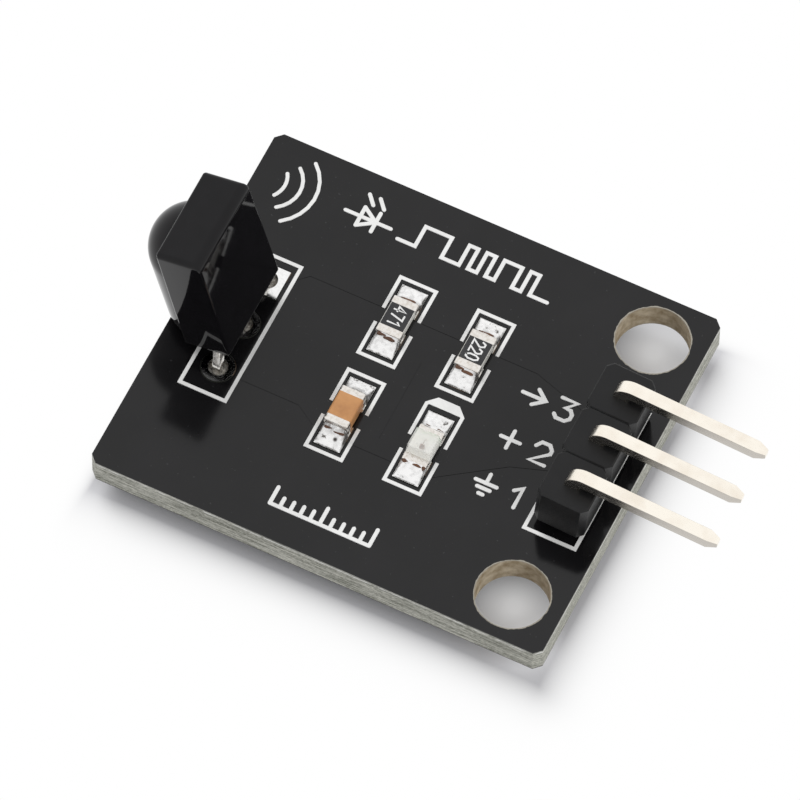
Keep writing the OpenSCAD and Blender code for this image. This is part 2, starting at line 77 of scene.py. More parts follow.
class Surface:
    """Collects numpy patches and makes one mesh object of them."""

    def __init__(self, name: str) -> None:
        """Starts an empty surface.

        Args:
            name: the name of the piece that it becomes.
        """
        self.name = name
        self.points: List[np.ndarray] = []
        self.faces: List[np.ndarray] = []
        self.count = 0

    def grid(self, points: np.ndarray, wrap: bool = False, turn: Turn = Turn.OUT) -> None:
        """Adds a grid of quads.

        Point (i, j) is joined to (i + 1, j) and (i, j + 1), and the last column to the
        first where the grid wraps.

        Args:
            points: array of rows by columns by 3, in millimetres.
            wrap: whether the columns close on themselves.
            turn: OUT where columns run counter-clockwise as seen from the last row's side.
        """
        rows, cols = points.shape[:2]
        index = np.arange(rows * cols).reshape(rows, cols) + self.count
        if wrap:
            index = np.concatenate([index, index[:, :1]], axis=1)
        quads = np.stack([index[:-1, :-1], index[:-1, 1:], index[1:, 1:], index[1:, :-1]], axis=-1).reshape(-1, 4)
        if turn is Turn.IN:
            quads = quads[:, ::-1]
        self.points.append(points.reshape(-1, 3))
        self.faces.append(quads)
        self.count += rows * cols

    def fan(self, ring: np.ndarray, centre: Sequence[float], turn: Turn = Turn.OUT) -> None:
        """Closes a ring with a narrow band and then with triangles from a centre.

        The band's inner side is the ring at 0.96 of its size about the centre, so that the
        rounded edge outside doesn't tint the flat middle's shading.

        Args:
            ring: array of n by 3, in millimetres.
            centre: the point that the triangles meet in.
            turn: OUT where the ring runs counter-clockwise as seen from outside.
        """
        hub = np.array([centre], float)
        inner = hub + 0.96 * (ring - hub)
        self.grid(np.stack([ring, inner]), wrap=True, turn=turn)
        n = len(ring)
        index = np.arange(n) + self.count
        tri = np.stack([index, np.roll(index, -1), np.full(n, self.count + n)], axis=-1)
        self.points.append(np.concatenate([inner, hub]))
        self.faces.append(tri if turn is Turn.OUT else tri[:, ::-1])
        self.count += n + 1

    def build(self, sharp: float = 35.0, merge: float = 0.0004) -> bpy.types.Object:
        """Makes the mesh object, merged, smooth, and with the edges over an angle kept sharp.

        Args:
            sharp: the angle in degrees over which an edge stays sharp.
            merge: the distance in millimetres under which points are one.

        Returns:
            The object, at the origin.
        """
        points = np.concatenate(self.points) * MM
        faces = [tuple(int(k) for k in face) for block in self.faces for face in block]
        mesh = bpy.data.meshes.new(self.name)
        mesh.from_pydata(points, [], faces)
        mesh.validate()
        piece = bpy.data.objects.new(self.name, mesh)
        bpy.context.scene.collection.objects.link(piece)
        weld(mesh, merge * MM)
        mesh.shade_smooth()
        mesh.set_sharp_from_angle(angle=math.radians(sharp))
        mesh.update()
        return piece


def weld(mesh: bpy.types.Mesh, distance: float) -> None:
    """Merges a mesh's doubled points and points its faces outwards.

    Args:
        mesh: the mesh to weld.
        distance: points nearer than this, in metres, become one.
    """
    work = bmesh.new()
    work.from_mesh(mesh)
    bmesh.ops.remove_doubles(work, verts=work.verts, dist=distance)
    bmesh.ops.dissolve_degenerate(work, dist=distance / 4, edges=work.edges)
    bmesh.ops.recalc_face_normals(work, faces=work.faces)
    work.to_mesh(mesh)
    work.free()


def place(piece: bpy.types.Object, finish: bpy.types.Material, slot: str, *nodes: str) -> bpy.types.Object:
    """Gives a new piece its finish and its body, and hides the CAD nodes that it stands for.

    Args:
        piece: the new object.
        finish: its material.
        slot: the record's material slot; not used.
        nodes: the CAD nodes that it replaces.

    Returns:
        The same object.
    """
    piece.data.materials.clear()
    piece.data.materials.append(finish)
    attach(piece, BODY)
    if nodes:
        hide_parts(*nodes)
    LOG.info("%s: %d faces, stands for %s", piece.name, len(piece.data.polygons), ", ".join(nodes) or "no node")
    return piece


def dress(finish: bpy.types.Material, *nodes: str) -> None:
    """Puts a finish on CAD nodes that stay in view.

    Args:
        finish: the material.
        nodes: names of the CAD nodes.
    """
    for name in nodes:
        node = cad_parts[name]
        for material_slot in node.material_slots:
            material_slot.material = finish
        LOG.info("%s: CAD node with the finish %s", name, finish.name)


def lean(points: np.ndarray, origin: Sequence[float], degrees: float) -> np.ndarray:
    """Turns points about the Y axis and then moves them.

    With angle a, x becomes x cos a + z sin a and z becomes z cos a - x sin a.

    Args:
        points: array whose last axis is x, y, z.
        origin: where the local origin goes.
        degrees: the angle a.

    Returns:
        The moved points.
    """
    a = math.radians(degrees)
    x, y, z = points[..., 0], points[..., 1], points[..., 2]
    turned = np.stack([x * math.cos(a) + z * math.sin(a), y, z * math.cos(a) - x * math.sin(a)], axis=-1)
    return turned + np.array(origin, float)


def rounded_rectangle(half_x: float, half_y: float, radius: float, steps: int = 5) -> np.ndarray:
    """Outline of a rectangle with round corners, counter-clockwise.

    Each corner is a quarter circle about a point one radius in from both sides.

    Args:
        half_x: half the size along X.
        half_y: half the size along Y.
        radius: radius of the corners.
        steps: points per corner.

    Returns:
        Array of 4 * steps by 2.
    """
    t = np.linspace(0, math.pi / 2, steps)
    angle = (np.arange(4)[:, None] * math.pi / 2 + t[None, :]).ravel()
    sign_x = np.repeat([1, -1, -1, 1], steps)
    sign_y = np.repeat([1, 1, -1, -1], steps)
    return np.stack(
        [sign_x * (half_x - radius) + radius * np.cos(angle), sign_y * (half_y - radius) + radius * np.sin(angle)],
        axis=-1,
    )


def pillow(
    surface: Surface, low: Sequence[float], high: Sequence[float], radius: float, steps: int = 4
) -> None:
    """Adds a box whose edges are all rounded.

    Rings of the rounded outline climb from the foot to the top, and near both ends they
    shrink by radius (1 - cos t) while they rise by radius sin t.

    Args:
        surface: the surface that it is added to.
        low: lowest corner.
        high: highest corner.
        radius: radius of the edges.
        steps: rings per rounded edge.
    """
    low_a, high_a = np.array(low, float), np.array(high, float)
    mid, half = (low_a + high_a) / 2, (high_a - low_a) / 2
    t = np.linspace(0, math.pi / 2, steps + 1)
    inset = np.concatenate([radius * (1 - np.sin(t)), radius * (1 - np.cos(t))])
    z = np.concatenate([low_a[2] + radius * (1 - np.cos(t)), high_a[2] - radius * (1 - np.sin(t))])
    rings = []
    for shrink, level in zip(inset, z):
        corner = max(radius - shrink, radius * 0.05)
        outline = rounded_rectangle(half[0] - shrink, half[1] - shrink, corner)
        rings.append(np.column_stack([outline + mid[:2], np.full(len(outline), level)]))
    stack = np.stack(rings)
    surface.grid(stack, wrap=True)
    surface.fan(stack[0], [mid[0], mid[1], low_a[2]], Turn.IN)
    surface.fan(stack[-1], [mid[0], mid[1], high_a[2]])


def carry(surface: Surface, path: np.ndarray, side: np.ndarray, profile: np.ndarray, scale: np.ndarray) -> None:
    """Carries a closed profile along a path.

    At each point the profile's first axis lies along side and its second along the cross
    product of the path's direction and side, times that point's scale.

    Args:
        surface: the surface that it is added to.
        path: array of n by 3.
        side: the unit direction of the profile's first axis, the same all along.
        profile: array of m by 2.
        scale: array of n by 2, the profile's scale along its two axes.
    """
    ahead = np.gradient(path, axis=0)
    ahead /= np.linalg.norm(ahead, axis=1, keepdims=True)
    other = np.cross(ahead, side)
    other /= np.linalg.norm(other, axis=1, keepdims=True)
    rings = (
        path[:, None, :]
        + (profile[None, :, 0] * scale[:, :1])[..., None] * side
        + (profile[None, :, 1] * scale[:, 1:])[..., None] * other[:, None, :]
    )
    surface.grid(rings, wrap=True)
    surface.fan(rings[0], path[0], Turn.IN)
    surface.fan(rings[-1], path[-1])


def revolve(surface: Surface, centre: Sequence[float], radius: np.ndarray, z: np.ndarray) -> None:
    """Turns a profile about an upright axis: at angle t, x is r cos t and y is r sin t.

    Args:
        surface: the surface that it is added to.
        centre: x and y of the axis.
        radius: the profile's radii.
        z: the profile's heights.
    """
    t = np.linspace(0, 2 * math.pi, 48, endpoint=False)
    r = np.repeat(radius[:, None], len(t), axis=1)
    rings = np.stack(
        [centre[0] + r * np.cos(t), centre[1] + r * np.sin(t), np.repeat(z[:, None], len(t), axis=1)], axis=-1
    )
    surface.grid(rings, wrap=True)


class Shader:
    """A material's node tree, with short calls for the nodes that the finishes use."""

    def __init__(self, name: str) -> None:
        """Makes a material with a Principled shader.

        Args:
            name: the material's name.
        """
        self.material = bpy.data.materials.new(name)
        self.material.use_nodes = True
        self.tree = self.material.node_tree
        self.tree.nodes.clear()
        self.output = self.tree.nodes.new("ShaderNodeOutputMaterial")
        self.body = self.node("ShaderNodeBsdfPrincipled")
        self.tree.links.new(self.body.outputs[0], self.output.inputs["Surface"])
        coordinates = self.node("ShaderNodeTexCoord")
        self.place = self.node("ShaderNodeMapping", {"Vector": coordinates.outputs["Object"], "Scale": (1000, 1000, 1000)})

    def node(self, kind: str, inputs: Optional[Dict] = None, **settings) -> bpy.types.Node:
        """Adds a node.

        Args:
            kind: the node's type.
            inputs: constants or output sockets, by input name or number.
            settings: attributes of the node.

        Returns:
            The node.
        """
        made = self.tree.nodes.new(kind)
        for key, value in settings.items():
            setattr(made, key, value)
        for key, value in (inputs or {}).items():
            self.set(made.inputs[key], value)
        return made

    def set(self, socket: bpy.types.NodeSocket, value) -> None:
        """Links an output to a socket, or sets a constant on it.

        Args:
            socket: the input.
            value: an output socket, a number or a colour.
        """
        if isinstance(value, bpy.types.NodeSocket):
            self.tree.links.new(value, socket)
        elif socket.type == "RGBA" and len(value) == 3:
            socket.default_value = (*value, 1.0)
        else:
            socket.default_value = value

    def surface(self, **inputs) -> None:
        """Sets inputs of the Principled shader, with _ for each space in a name."""
        for key, value in inputs.items():
            self.set(self.body.inputs[key.replace("_", " ")], value)

    def stretch(self, scale: Sequence[float]) -> bpy.types.NodeSocket:
        """Position in millimetres times a scale along each axis."""
        return self.node("ShaderNodeMapping", {"Vector": self.place.outputs[0], "Scale": tuple(scale)}).outputs[0]

    def noise(self, scale: float, detail: float = 3.0, at: Optional[bpy.types.NodeSocket] = None, rough: float = 0.55):
        """Noise whose cells are 1 / scale millimetres across, from 0 to 1."""
        where = at if at is not None else self.place.outputs[0]
        return self.node(
            "ShaderNodeTexNoise", {"Vector": where, "Scale": scale, "Detail": detail, "Roughness": rough}
        ).outputs[0]

    def span(self, value, low: float, high: float, to_low: float = 0.0, to_high: float = 1.0):
        """Maps a value from one range to another, held at both ends."""
        return self.node(
            "ShaderNodeMapRange",
            {"Value": value, "From Min": low, "From Max": high, "To Min": to_low, "To Max": to_high},
        ).outputs[0]

    def blend(self, share, first, second):
        """Mixes two colours by a share."""
        mix = self.node("ShaderNodeMix", data_type="RGBA")
        for socket, value in ((mix.inputs[0], share), (mix.inputs[6], first), (mix.inputs[7], second)):
            self.set(socket, value)
        return mix.outputs[2]

    def maths(self, operation: str, first, second=0.0):
        """One Math node."""
        made = self.node("ShaderNodeMath", operation=operation)
        self.set(made.inputs[0], first)
        self.set(made.inputs[1], second)
        return made.outputs[0]

    def away(self, centre: Sequence[float], squash: Sequence[float] = (1, 1, 1)):
        """Distance in millimetres from a point, with each axis scaled."""
        offset = self.node("ShaderNodeVectorMath", {0: self.place.outputs[0], 1: tuple(centre)}, operation="SUBTRACT")
        scaled = self.node("ShaderNodeVectorMath", {0: offset.outputs[0], 1: tuple(squash)}, operation="MULTIPLY")
        return self.node("ShaderNodeVectorMath", {0: scaled.outputs[0]}, operation="LENGTH").outputs[1]

    def height(self):
        """The z of the point, in millimetres."""
        return self.node("ShaderNodeSeparateXYZ", {0: self.place.outputs[0]}).outputs[2]

    def bump(self, height, depth: float, strength: float = 1.0) -> None:
        """Bends the shading normal by a height from 0 to 1, depth millimetres deep."""
        made = self.node("ShaderNodeBump", {"Height": height, "Distance": depth * MM, "Strength": strength})
        self.set(self.body.inputs["Normal"], made.outputs[0])


@dataclass(frozen=True)
class MaskFinish:
    """Glossy black solder mask: a dark film with fine dust, slow waves and a soft sheen."""

    tint: Colour = (0.0046, 0.0044, 0.0050)
    faded: Colour = (0.0075, 0.0072, 0.0080)
    dust: Colour = (0.09, 0.09, 0.095)
    bare: Colour = (0.40, 0.37, 0.31)
    gloss: float = 0.37
    rim: float = 1.785
    hole_y: float = 7.34

    def make(self) -> bpy.types.Material:
        """Makes the material."""
        s = Shader("solder_mask_black")
        cloud = s.noise(0.35, 4.0)
        grain = s.noise(26.0, 2.0)
        dust = s.span(s.noise(5.5, 1.0, rough=0.4), 0.745, 0.80)
        colour = s.blend(s.span(cloud, 0.35, 0.7), self.tint, self.faded)
        colour = s.blend(s.maths("MULTIPLY", dust, 0.25), colour, self.dust)
        nearest = s.maths("MINIMUM", *[s.away((0, side * self.hole_y, 0), (1, 1, 0)) for side in (1, -1)])
        chipped = s.maths("ADD", nearest, s.span(s.noise(3.0, 2.0), 0.3, 0.7, -0.025, 0.025))
        s.surface(
            Base_Color=s.blend(s.span(chipped, self.rim - 0.01, self.rim + 0.01, 1.0, 0.0), colour, self.bare),
            Roughness=s.span(cloud, 0.3, 0.7, 0.09, 0.15),
            Specular_IOR_Level=self.gloss,
        )
        s.bump(s.maths("ADD", s.maths("MULTIPLY", grain, 0.12), s.noise(1.1, 2.0)), 0.004, 0.35)
        return s.material


@dataclass(frozen=True)
class LaminateFinish:
    """Sawn glass-fibre laminate: streaked edges, browner hole walls and dark flat faces."""

    pale: Colour = (0.70, 0.695, 0.62)
    dark: Colour = (0.13, 0.135, 0.105)
    wall: Colour = (0.30, 0.23, 0.14)
    wall_pale: Colour = (0.62, 0.54, 0.41)
    flat: Colour = (0.014, 0.015, 0.011)
    frayed: Colour = (0.92, 0.92, 0.89)
    fray_z: float = 1.33
    hole_radius: float = 1.74
    hole_y: float = 7.34

    def make(self) -> bpy.types.Material:
        """Makes the material."""
        s = Shader("laminate_sawn")
        layers = s.noise(1.0, 5.0, s.stretch((0.45, 0.45, 9.0)), 0.65)
        fibres = s.noise(1.0, 3.0, s.stretch((7.0, 7.0, 26.0)), 0.7)
        mottle = s.noise(2.2, 3.0)
        streak = s.span(s.maths("ADD", s.maths("MULTIPLY", layers, 0.5), s.maths("MULTIPLY", fibres, 0.5)), 0.39, 0.61)
        edge = s.blend(streak, self.dark, self.pale)
        depth = s.maths("ABSOLUTE", s.maths("SUBTRACT", s.height(), self.fray_z))
        frayed = s.maths("MULTIPLY", s.span(depth, 0.02, 0.07, 1.0, 0.0), s.span(s.noise(1.6, 3.0), 0.40, 0.56))
        edge = s.blend(s.maths("MULTIPLY", frayed, 0.8), edge, self.frayed)
        near = [s.away((0, sign * self.hole_y, 0), (1, 1, 0)) for sign in (1, -1)]
        nearest = s.maths("MINIMUM", near[0], near[1])
        inside = s.span(nearest, self.hole_radius + 0.01, self.hole_radius + 0.04, 1.0, 0.0)
        wall = s.blend(s.span(mottle, 0.3, 0.7), self.wall, self.wall_pale)
        normal = s.node("ShaderNodeNewGeometry").outputs["Normal"]
        upright = s.maths("ABSOLUTE", s.node("ShaderNodeSeparateXYZ", {0: normal}).outputs[2])
        beyond = s.span(nearest, self.hole_radius + 0.1, self.hole_radius + 0.14)
        skin = s.maths("MULTIPLY", s.span(upright, 0.8, 0.9), beyond)
        s.surface(
            Base_Color=s.blend(skin, s.blend(inside, edge, wall), self.flat), Roughness=0.72, Specular_IOR_Level=0.3
        )
        s.bump(s.maths("ADD", fibres, layers), 0.02, 0.6)
        return s.material


@dataclass(frozen=True)
class MetalFinish:
    """Plated or tinned metal: a soft mirror with drawn streaks, a little tarnish and, where its share is set, painted
    shade on the faces that look along Y.
    """

    name: str
    tint: Colour
    shade: Colour
    roughness: float = 0.25
    streak: Tuple[float, float, float] = (2.0, 2.0, 2.0)
    depth: float = 0.006
    spots: float = 7.0
    painted_side_shade: Colour = (0.50, 0.47, 0.43)
    painted_side_shade_share: float = 0.0

    def make(self) -> bpy.types.Material:
        """Makes the material, with painted shade on the faces that look along Y, standing in for the darker
        surroundings that they reflect.
        """
        s = Shader(self.name)
        drawn = s.noise(2.0, 3.0, s.stretch(self.streak))
        spots = s.noise(self.spots, 3.0)
        colour = s.blend(s.span(spots, 0.42, 0.72), self.tint, self.shade)
        # Painted shade: the faces that look along Y are darkened, standing in for the darker surroundings that they
        # reflect.
        normal = s.node("ShaderNodeNewGeometry").outputs["Normal"]
        across = s.maths("ABSOLUTE", s.node("ShaderNodeSeparateXYZ", {0: normal}).outputs[1])
        side_shade_mask = s.maths("MULTIPLY", s.span(across, 0.6, 0.85), self.painted_side_shade_share)
        colour = s.blend(side_shade_mask, colour, self.painted_side_shade)
        s.surface(
            Base_Color=colour,
            Metallic=1.0,
            Roughness=s.span(drawn, 0.25, 0.75, self.roughness * 0.8, self.roughness * 1.35),
        )
        s.bump(s.maths("ADD", drawn, s.maths("MULTIPLY", spots, 0.4)), self.depth, 0.4)
        return s.material


@dataclass(frozen=True)
class SolderFinish:
    """Bright solder with frosted patches, dark patches, a painted reflection of dark surroundings on its steep parts
    and one dark pit, and darker on top where it is sunk in a hole.
    """

    name: str = "solder_bright"
    sunk: float = 0.0
    sunk_dark: Colour = (0.15, 0.135, 0.10)
    tint: Colour = (0.97, 0.965, 0.96)
    frost: Colour = (0.80, 0.795, 0.79)
    shade: Colour = (0.16, 0.15, 0.14)
    hollow: Colour = (0.03, 0.02, 0.015)
    pit: Tuple[float, float, float] = (-10.62, -3.86, 1.75)

    def make(self) -> bpy.types.Material:
        """Makes the material."""
        s = Shader(self.name)
        frosted = s.noise(4.5, 4.0, rough=0.6)
        normal = s.node("ShaderNodeNewGeometry").outputs["Normal"]
        level = s.node("ShaderNodeSeparateXYZ", {0: normal}).outputs[2]
        patches = s.noise(2.6, 3.0, rough=0.7)
        # Painted reflection: steep parts get the dark shade colour in patches, standing in for the dark surroundings
        # that they reflect; the other dark patches are random stains.
        steep_painted_reflection = s.maths("MULTIPLY", s.span(level, 0.62, 0.86, 1.0, 0.0), s.span(patches, 0.40, 0.52))
        stain_and_painted_reflection = s.maths("MAXIMUM", s.span(patches, 0.60, 0.68), steep_painted_reflection)
        colour = s.blend(stain_and_painted_reflection, s.blend(s.span(frosted, 0.44, 0.64), self.tint, self.frost), self.shade)
        # Darker and browner towards the top of the joint, where it lies sunk in a hole.
        upper = s.maths("MULTIPLY", s.span(s.height(), 0.4, 0.8), s.span(frosted, 0.30, 0.55, 1.0, 0.55))
        colour = s.blend(s.maths("MULTIPLY", upper, self.sunk), colour, self.sunk_dark)
        pit = s.span(s.away(self.pit), 0.05, 0.13, 1.0, 0.0)
        s.surface(
            Base_Color=s.blend(pit, colour, self.hollow),
            Metallic=s.span(pit, 0.0, 1.0, 0.6, 0.0),
            Roughness=s.span(frosted, 0.35, 0.7, 0.16, 0.42),
        )
        s.bump(frosted, 0.02, 0.55)
        return s.material


@dataclass(frozen=True)
class PlasticFinish:
    """Moulded or glazed surface with cloudy colour, grain and a chosen gloss."""

    name: str
    tint: Colour
    shade: Colour
    roughness: float
    grain: float = 14.0
    depth: float = 0.004
    specular: float = 0.5

    def make(self) -> bpy.types.Material:
        """Makes the material."""
        s = Shader(self.name)
        cloud = s.noise(1.3, 4.0)
        grain = s.noise(self.grain, 3.0)
        s.surface(
            Base_Color=s.blend(s.span(cloud, 0.35, 0.68), self.tint, self.shade),
            Roughness=s.span(grain, 0.3, 0.7, self.roughness * 0.82, self.roughness * 1.2),
            Specular_IOR_Level=self.specular,
        )
        s.bump(s.maths("ADD", grain, s.maths("MULTIPLY", cloud, 0.6)), self.depth, 0.5)
        return s.material


@dataclass(frozen=True)
class ResinFinish:
    """Clear cream resin, tinted green towards one end."""

    clear: Colour = (1.0, 0.995, 0.965)
    cloudy: Colour = (0.99, 0.975, 0.92)
    green: Colour = (0.42, 0.70, 0.42)
    cover: float = 0.42
    end_y: float = -1.85

    def make(self) -> bpy.types.Material:
        """Makes the material."""
        s = Shader("lamp_resin")
        y = s.node("ShaderNodeSeparateXYZ", {0: s.place.outputs[0]}).outputs[1]
        patch = s.maths("MULTIPLY", s.span(y, self.end_y - 0.12, self.end_y), s.span(s.noise(5.0, 2.0), 0.42, 0.6))
        cloud = s.noise(4.0, 3.0)
        s.surface(
            Base_Color=s.blend(patch, s.blend(s.span(cloud, 0.3, 0.7), self.clear, self.cloudy), self.green),
            Roughness=0.12,
            Alpha=self.cover,
        )
        s.bump(cloud, 0.01, 0.3)
        return s.material


@dataclass
class Finishes:
    """Every material of the part, made once and shared by the sub-assemblies."""

    made: Dict[str, bpy.types.Material] = field(default_factory=dict)

    def prepare(self) -> None:
        """Makes all the materials."""
        makers = {
            "mask": MaskFinish(),
            "laminate": LaminateFinish(),
            "solder": SolderFinish(),
            "joint": SolderFinish("solder_in_holes", 0.95),
            "copper": MetalFinish("copper_dulled", (0.10, 0.075, 0.055), (0.06, 0.045, 0.035), 0.4),
            "pad": MetalFinish("pad_tinned", (0.93, 0.93, 0.92), (0.84, 0.84, 0.83), 0.12, depth=0.0015),
            # The pins get painted shade on the faces that look along Y.
            "pin": MetalFinish(
                "pin_plated",
                (0.98, 0.925, 0.83),
                (0.90, 0.825, 0.72),
                0.24,
                (0.3, 3.0, 3.0),
                0.0012,
                1.1,
                painted_side_shade_share=0.9,
            ),
            "lead": MetalFinish("lead_tinned", (0.82, 0.80, 0.77), (0.5, 0.47, 0.43), 0.22, (4.0, 4.0, 0.6)),
            "chip_end": MetalFinish("chip_end_tinned", (0.84, 0.81, 0.77), (0.64, 0.59, 0.53), 0.26),
            "epoxy": PlasticFinish(
                "receiver_epoxy", (0.0030, 0.0027, 0.0036), (0.0046, 0.0041, 0.0054), 0.05, 5.0, 0.0009, 0.24
            ),
            "nylon": PlasticFinish(
                "header_nylon", (0.0030, 0.0030, 0.0034), (0.0050, 0.0050, 0.0055), 0.42, 18.0, 0.003, 0.34
            ),
            "ceramic": PlasticFinish("chip_ceramic", (0.82, 0.81, 0.77), (0.66, 0.64, 0.58), 0.5),
            "glaze": PlasticFinish("chip_glaze", (0.014, 0.014, 0.016), (0.026, 0.026, 0.028), 0.3, 8.0, 0.008),
            "capacitor": PlasticFinish("capacitor_ceramic", (0.67, 0.335, 0.135), (0.50, 0.23, 0.09), 0.38, 10.0, 0.01),
            "ink": PlasticFinish("printed_ink", (0.98, 0.98, 0.97), (0.90, 0.90, 0.89), 0.62, 16.0, 0.012, 0.3),
            "lamp_base": PlasticFinish("lamp_base", (1.0, 0.995, 0.97), (0.97, 0.96, 0.90), 0.5),
            "lamp_die": PlasticFinish("lamp_die", (0.17, 0.055, 0.015), (0.09, 0.03, 0.01), 0.3),
            "flux": PlasticFinish("flux_brown", (0.14, 0.055, 0.02), (0.055, 0.022, 0.01), 0.16, 6.0, 0.01),
            "resin": ResinFinish(),
        }
        for key, maker in makers.items():
            self.made[key] = maker.make()

    def __getitem__(self, key: str) -> bpy.types.Material:
        """The material of that short name."""
        return self.made[key]


@dataclass
class Board:
    """The laminate with its masks, tracks and plated holes, all kept from the CAD model."""

    finishes: Finishes
    top: float = 1.5
    copper_top: float = 1.46

    def dress(self) -> None:
        """Puts finishes on the board's CAD nodes."""
        dress(self.finishes["laminate"], "laminate")
        dress(self.finishes["mask"], "mask_top", "mask_bottom")
        dress(self.finishes["copper"], "tracks_top", "tracks_bottom")
        dress(self.finishes["ink"], "legend")
        eyelets = [f"{row}_eyelet_{i}" for row in ("receiver", "header") for i in (1, 2, 3)]
        pads = [f"{chip}_pads" for chip in ("resistor_1", "resistor_2", "capacitor", "lamp")]
        dress(self.finishes["pad"], *eyelets, *pads)


@dataclass
class Printing:
    """Generic marks in white ink: pulses, a photodiode, a plain scale and the pins' signs."""

    finishes: Finishes
    top: float = 1.5
    thickness: float = 0.045
    width: float = 0.19
    shift: float = -8.875

    def ribbon(self, surface: Surface, stroke: np.ndarray, width: float, z: float, thickness: float) -> None:
        """Adds one printed line with round ends and mitred bends.

        Half the width follows a quarter circle within half a width of each end. The line's
        sides lie half a width to the left and right of the stroke, along the mean of the
        normals on both sides of a bend, lengthened by 1 / cos of half the bend.

        Args:
            surface: the surface that it is added to.
            stroke: array of n by 2, the line's middle.
            width: width of the line.
            z: height of its foot.
            thickness: thickness of the ink.
        """
        half = width / 2
        steps = stroke[1:] - stroke[:-1]
        lengths = np.linalg.norm(steps, axis=1)
        along = steps / lengths[:, None]
        normal = np.stack([-along[:, 1], along[:, 0]], axis=-1)
        before = np.vstack([normal[:1], normal])
        after = np.vstack([normal, normal[-1:]])
        both = before + after
        mitre = both * 2 / np.maximum((both**2).sum(axis=1, keepdims=True), 1.0)
        t = np.linspace(0, math.pi / 2, 6)
        reach, girth = np.cos(t), np.sin(t)
        head = stroke[0] - along[0] * half * reach[:, None]
        tail = stroke[-1] + along[-1] * half * reach[::-1, None]
        middle = np.vstack([head, stroke[1:-1], tail])
        offsets = np.vstack(
            [normal[:1] * girth[:, None], mitre[1:-1], normal[-1:] * girth[::-1, None]]
        ) * half
        left, right = middle + offsets, middle - offsets
        low, high = np.full((len(middle), 1), z), np.full((len(middle), 1), z + thickness)
        soft = 0.9
        inner_left, inner_right = middle + offsets * soft, middle - offsets * soft
        sides = [(left, low), (left, high - 0.25 * thickness), (inner_left, high)]
        sides += [(inner_right, high), (right, high - 0.25 * thickness), (right, low)]
        rows = np.stack([np.hstack([xy, level]) for xy, level in sides], axis=1)
        surface.grid(rows, wrap=True)

    def strokes(self, mark: Mark, low: Sequence[float], size: Sequence[float]) -> List[np.ndarray]:
        """The lines of one mark, drawn in a box.

        Args:
            mark: which mark.
            low: the box's low corner, in millimetres.
            size: the box's width and height.

        Returns:
            One array of points for each line.
        """
        drawings: Dict[Mark, List[List[Tuple[float, float]]]] = {
            Mark.ARROW: [[(0, 0.5), (1, 0.5)], [(0.55, 1), (1, 0.5), (0.55, 0)]],
            Mark.PLUS: [[(0, 0.5), (1, 0.5)], [(0.5, 0), (0.5, 1)]],
            Mark.GROUND: [[(0.5, 1), (0.5, 0.55)], [(0, 0.55), (1, 0.55)], [(0.2, 0.28), (0.8, 0.28)], [(0.4, 0), (0.6, 0)]],
            Mark.PHOTODIODE: [
                [(0, 0.3), (1, 0.3)],
                [(0.33, 0.0), (0.33, 0.6)],
                [(0.33, 0.6), (0.67, 0.3)],
                [(0.67, 0.3), (0.33, 0.0)],
                [(0.67, 0.0), (0.67, 0.6)],
                [(0.28, 1.0), (0.45, 0.74)],
                [(0.52, 1.0), (0.69, 0.74)],
            ],
            Mark.PULSES: [self.pulse_train()],
            Mark.SCALE: self.tick_scale(),
        }
        corner, span = np.array(low, float), np.array(size, float)
        return [np.array(line, float) * span + corner for line in drawings[mark]]

    @staticmethod
    def pulse_train() -> List[Tuple[float, float]]:
        """A square wave whose marks and spaces differ, as a remote control's burst does."""
        widths = [2, 3, 2, 1, 1, 1, 1, 2, 1, 1, 2]
        edges = np.concatenate([[0], np.cumsum(widths)]) / sum(widths)
        line: List[Tuple[float, float]] = []
        for k, (start, stop) in enumerate(zip(edges[:-1], edges[1:])):
            level = float(k % 2)
            line += [(float(start), level), (float(stop), level)]
        return line

    @staticmethod
    def tick_scale() -> List[List[Tuple[float, float]]]:
        """A base line with eleven ticks, every fifth one long."""
        ticks = [[(k / 10, 0.0), (k / 10, 1.0 if k % 5 == 0 else 0.55)] for k in range(11)]
        return [[(0.0, 0.0), (1.0, 0.0)]] + ticks

    @staticmethod
    def numeral(digit: str) -> List[List[Tuple[float, float]]]:
        """The lines of a plain numeral in a box one unit square.

        Args:
            digit: one of 0, 1, 2, 3, 4 and 7.

        Returns:
            The lines, each a list of points.
        """
        shapes: Dict[str, List[List[Tuple[float, float]]]] = {
            "0": [[(0.3, 0), (0, 0.25), (0, 0.75), (0.3, 1), (0.7, 1), (1, 0.75), (1, 0.25), (0.7, 0), (0.3, 0)]],
            "1": [[(0.15, 0.75), (0.6, 1), (0.6, 0)]],
            "2": [[(0, 0.75), (0.25, 1), (0.75, 1), (1, 0.78), (1, 0.6), (0, 0), (1, 0)]],
            "3": [[(0, 1), (1, 1), (0.45, 0.6), (0.8, 0.58), (1, 0.4), (1, 0.18), (0.75, 0), (0.2, 0), (0, 0.15)]],
            "4": [[(0.75, 0), (0.75, 1), (0, 0.3), (1, 0.3)]],
            "7": [[(0, 1), (1, 1), (0.4, 0)]],
        }
        return shapes[digit]

    def write(self, surface: Surface, digit: str, corner: Sequence[float], right: Sequence[float], up: Sequence[float],
              width: float, z: float, thickness: float) -> None:
        """Prints one numeral.

        Args:
            surface: the surface that it is added to.
            digit: the numeral.
            corner: the low left corner of its box.
            right: the box's lower side, as a vector.
            up: the box's left side, as a vector.
            width: width of the lines.
            z: height of their foot.
            thickness: thickness of the ink.
        """
        basis = np.array([right, up], float)
        for line in self.numeral(digit):
            self.ribbon(surface, np.array(line, float) @ basis + np.array(corner, float), width, z, thickness)

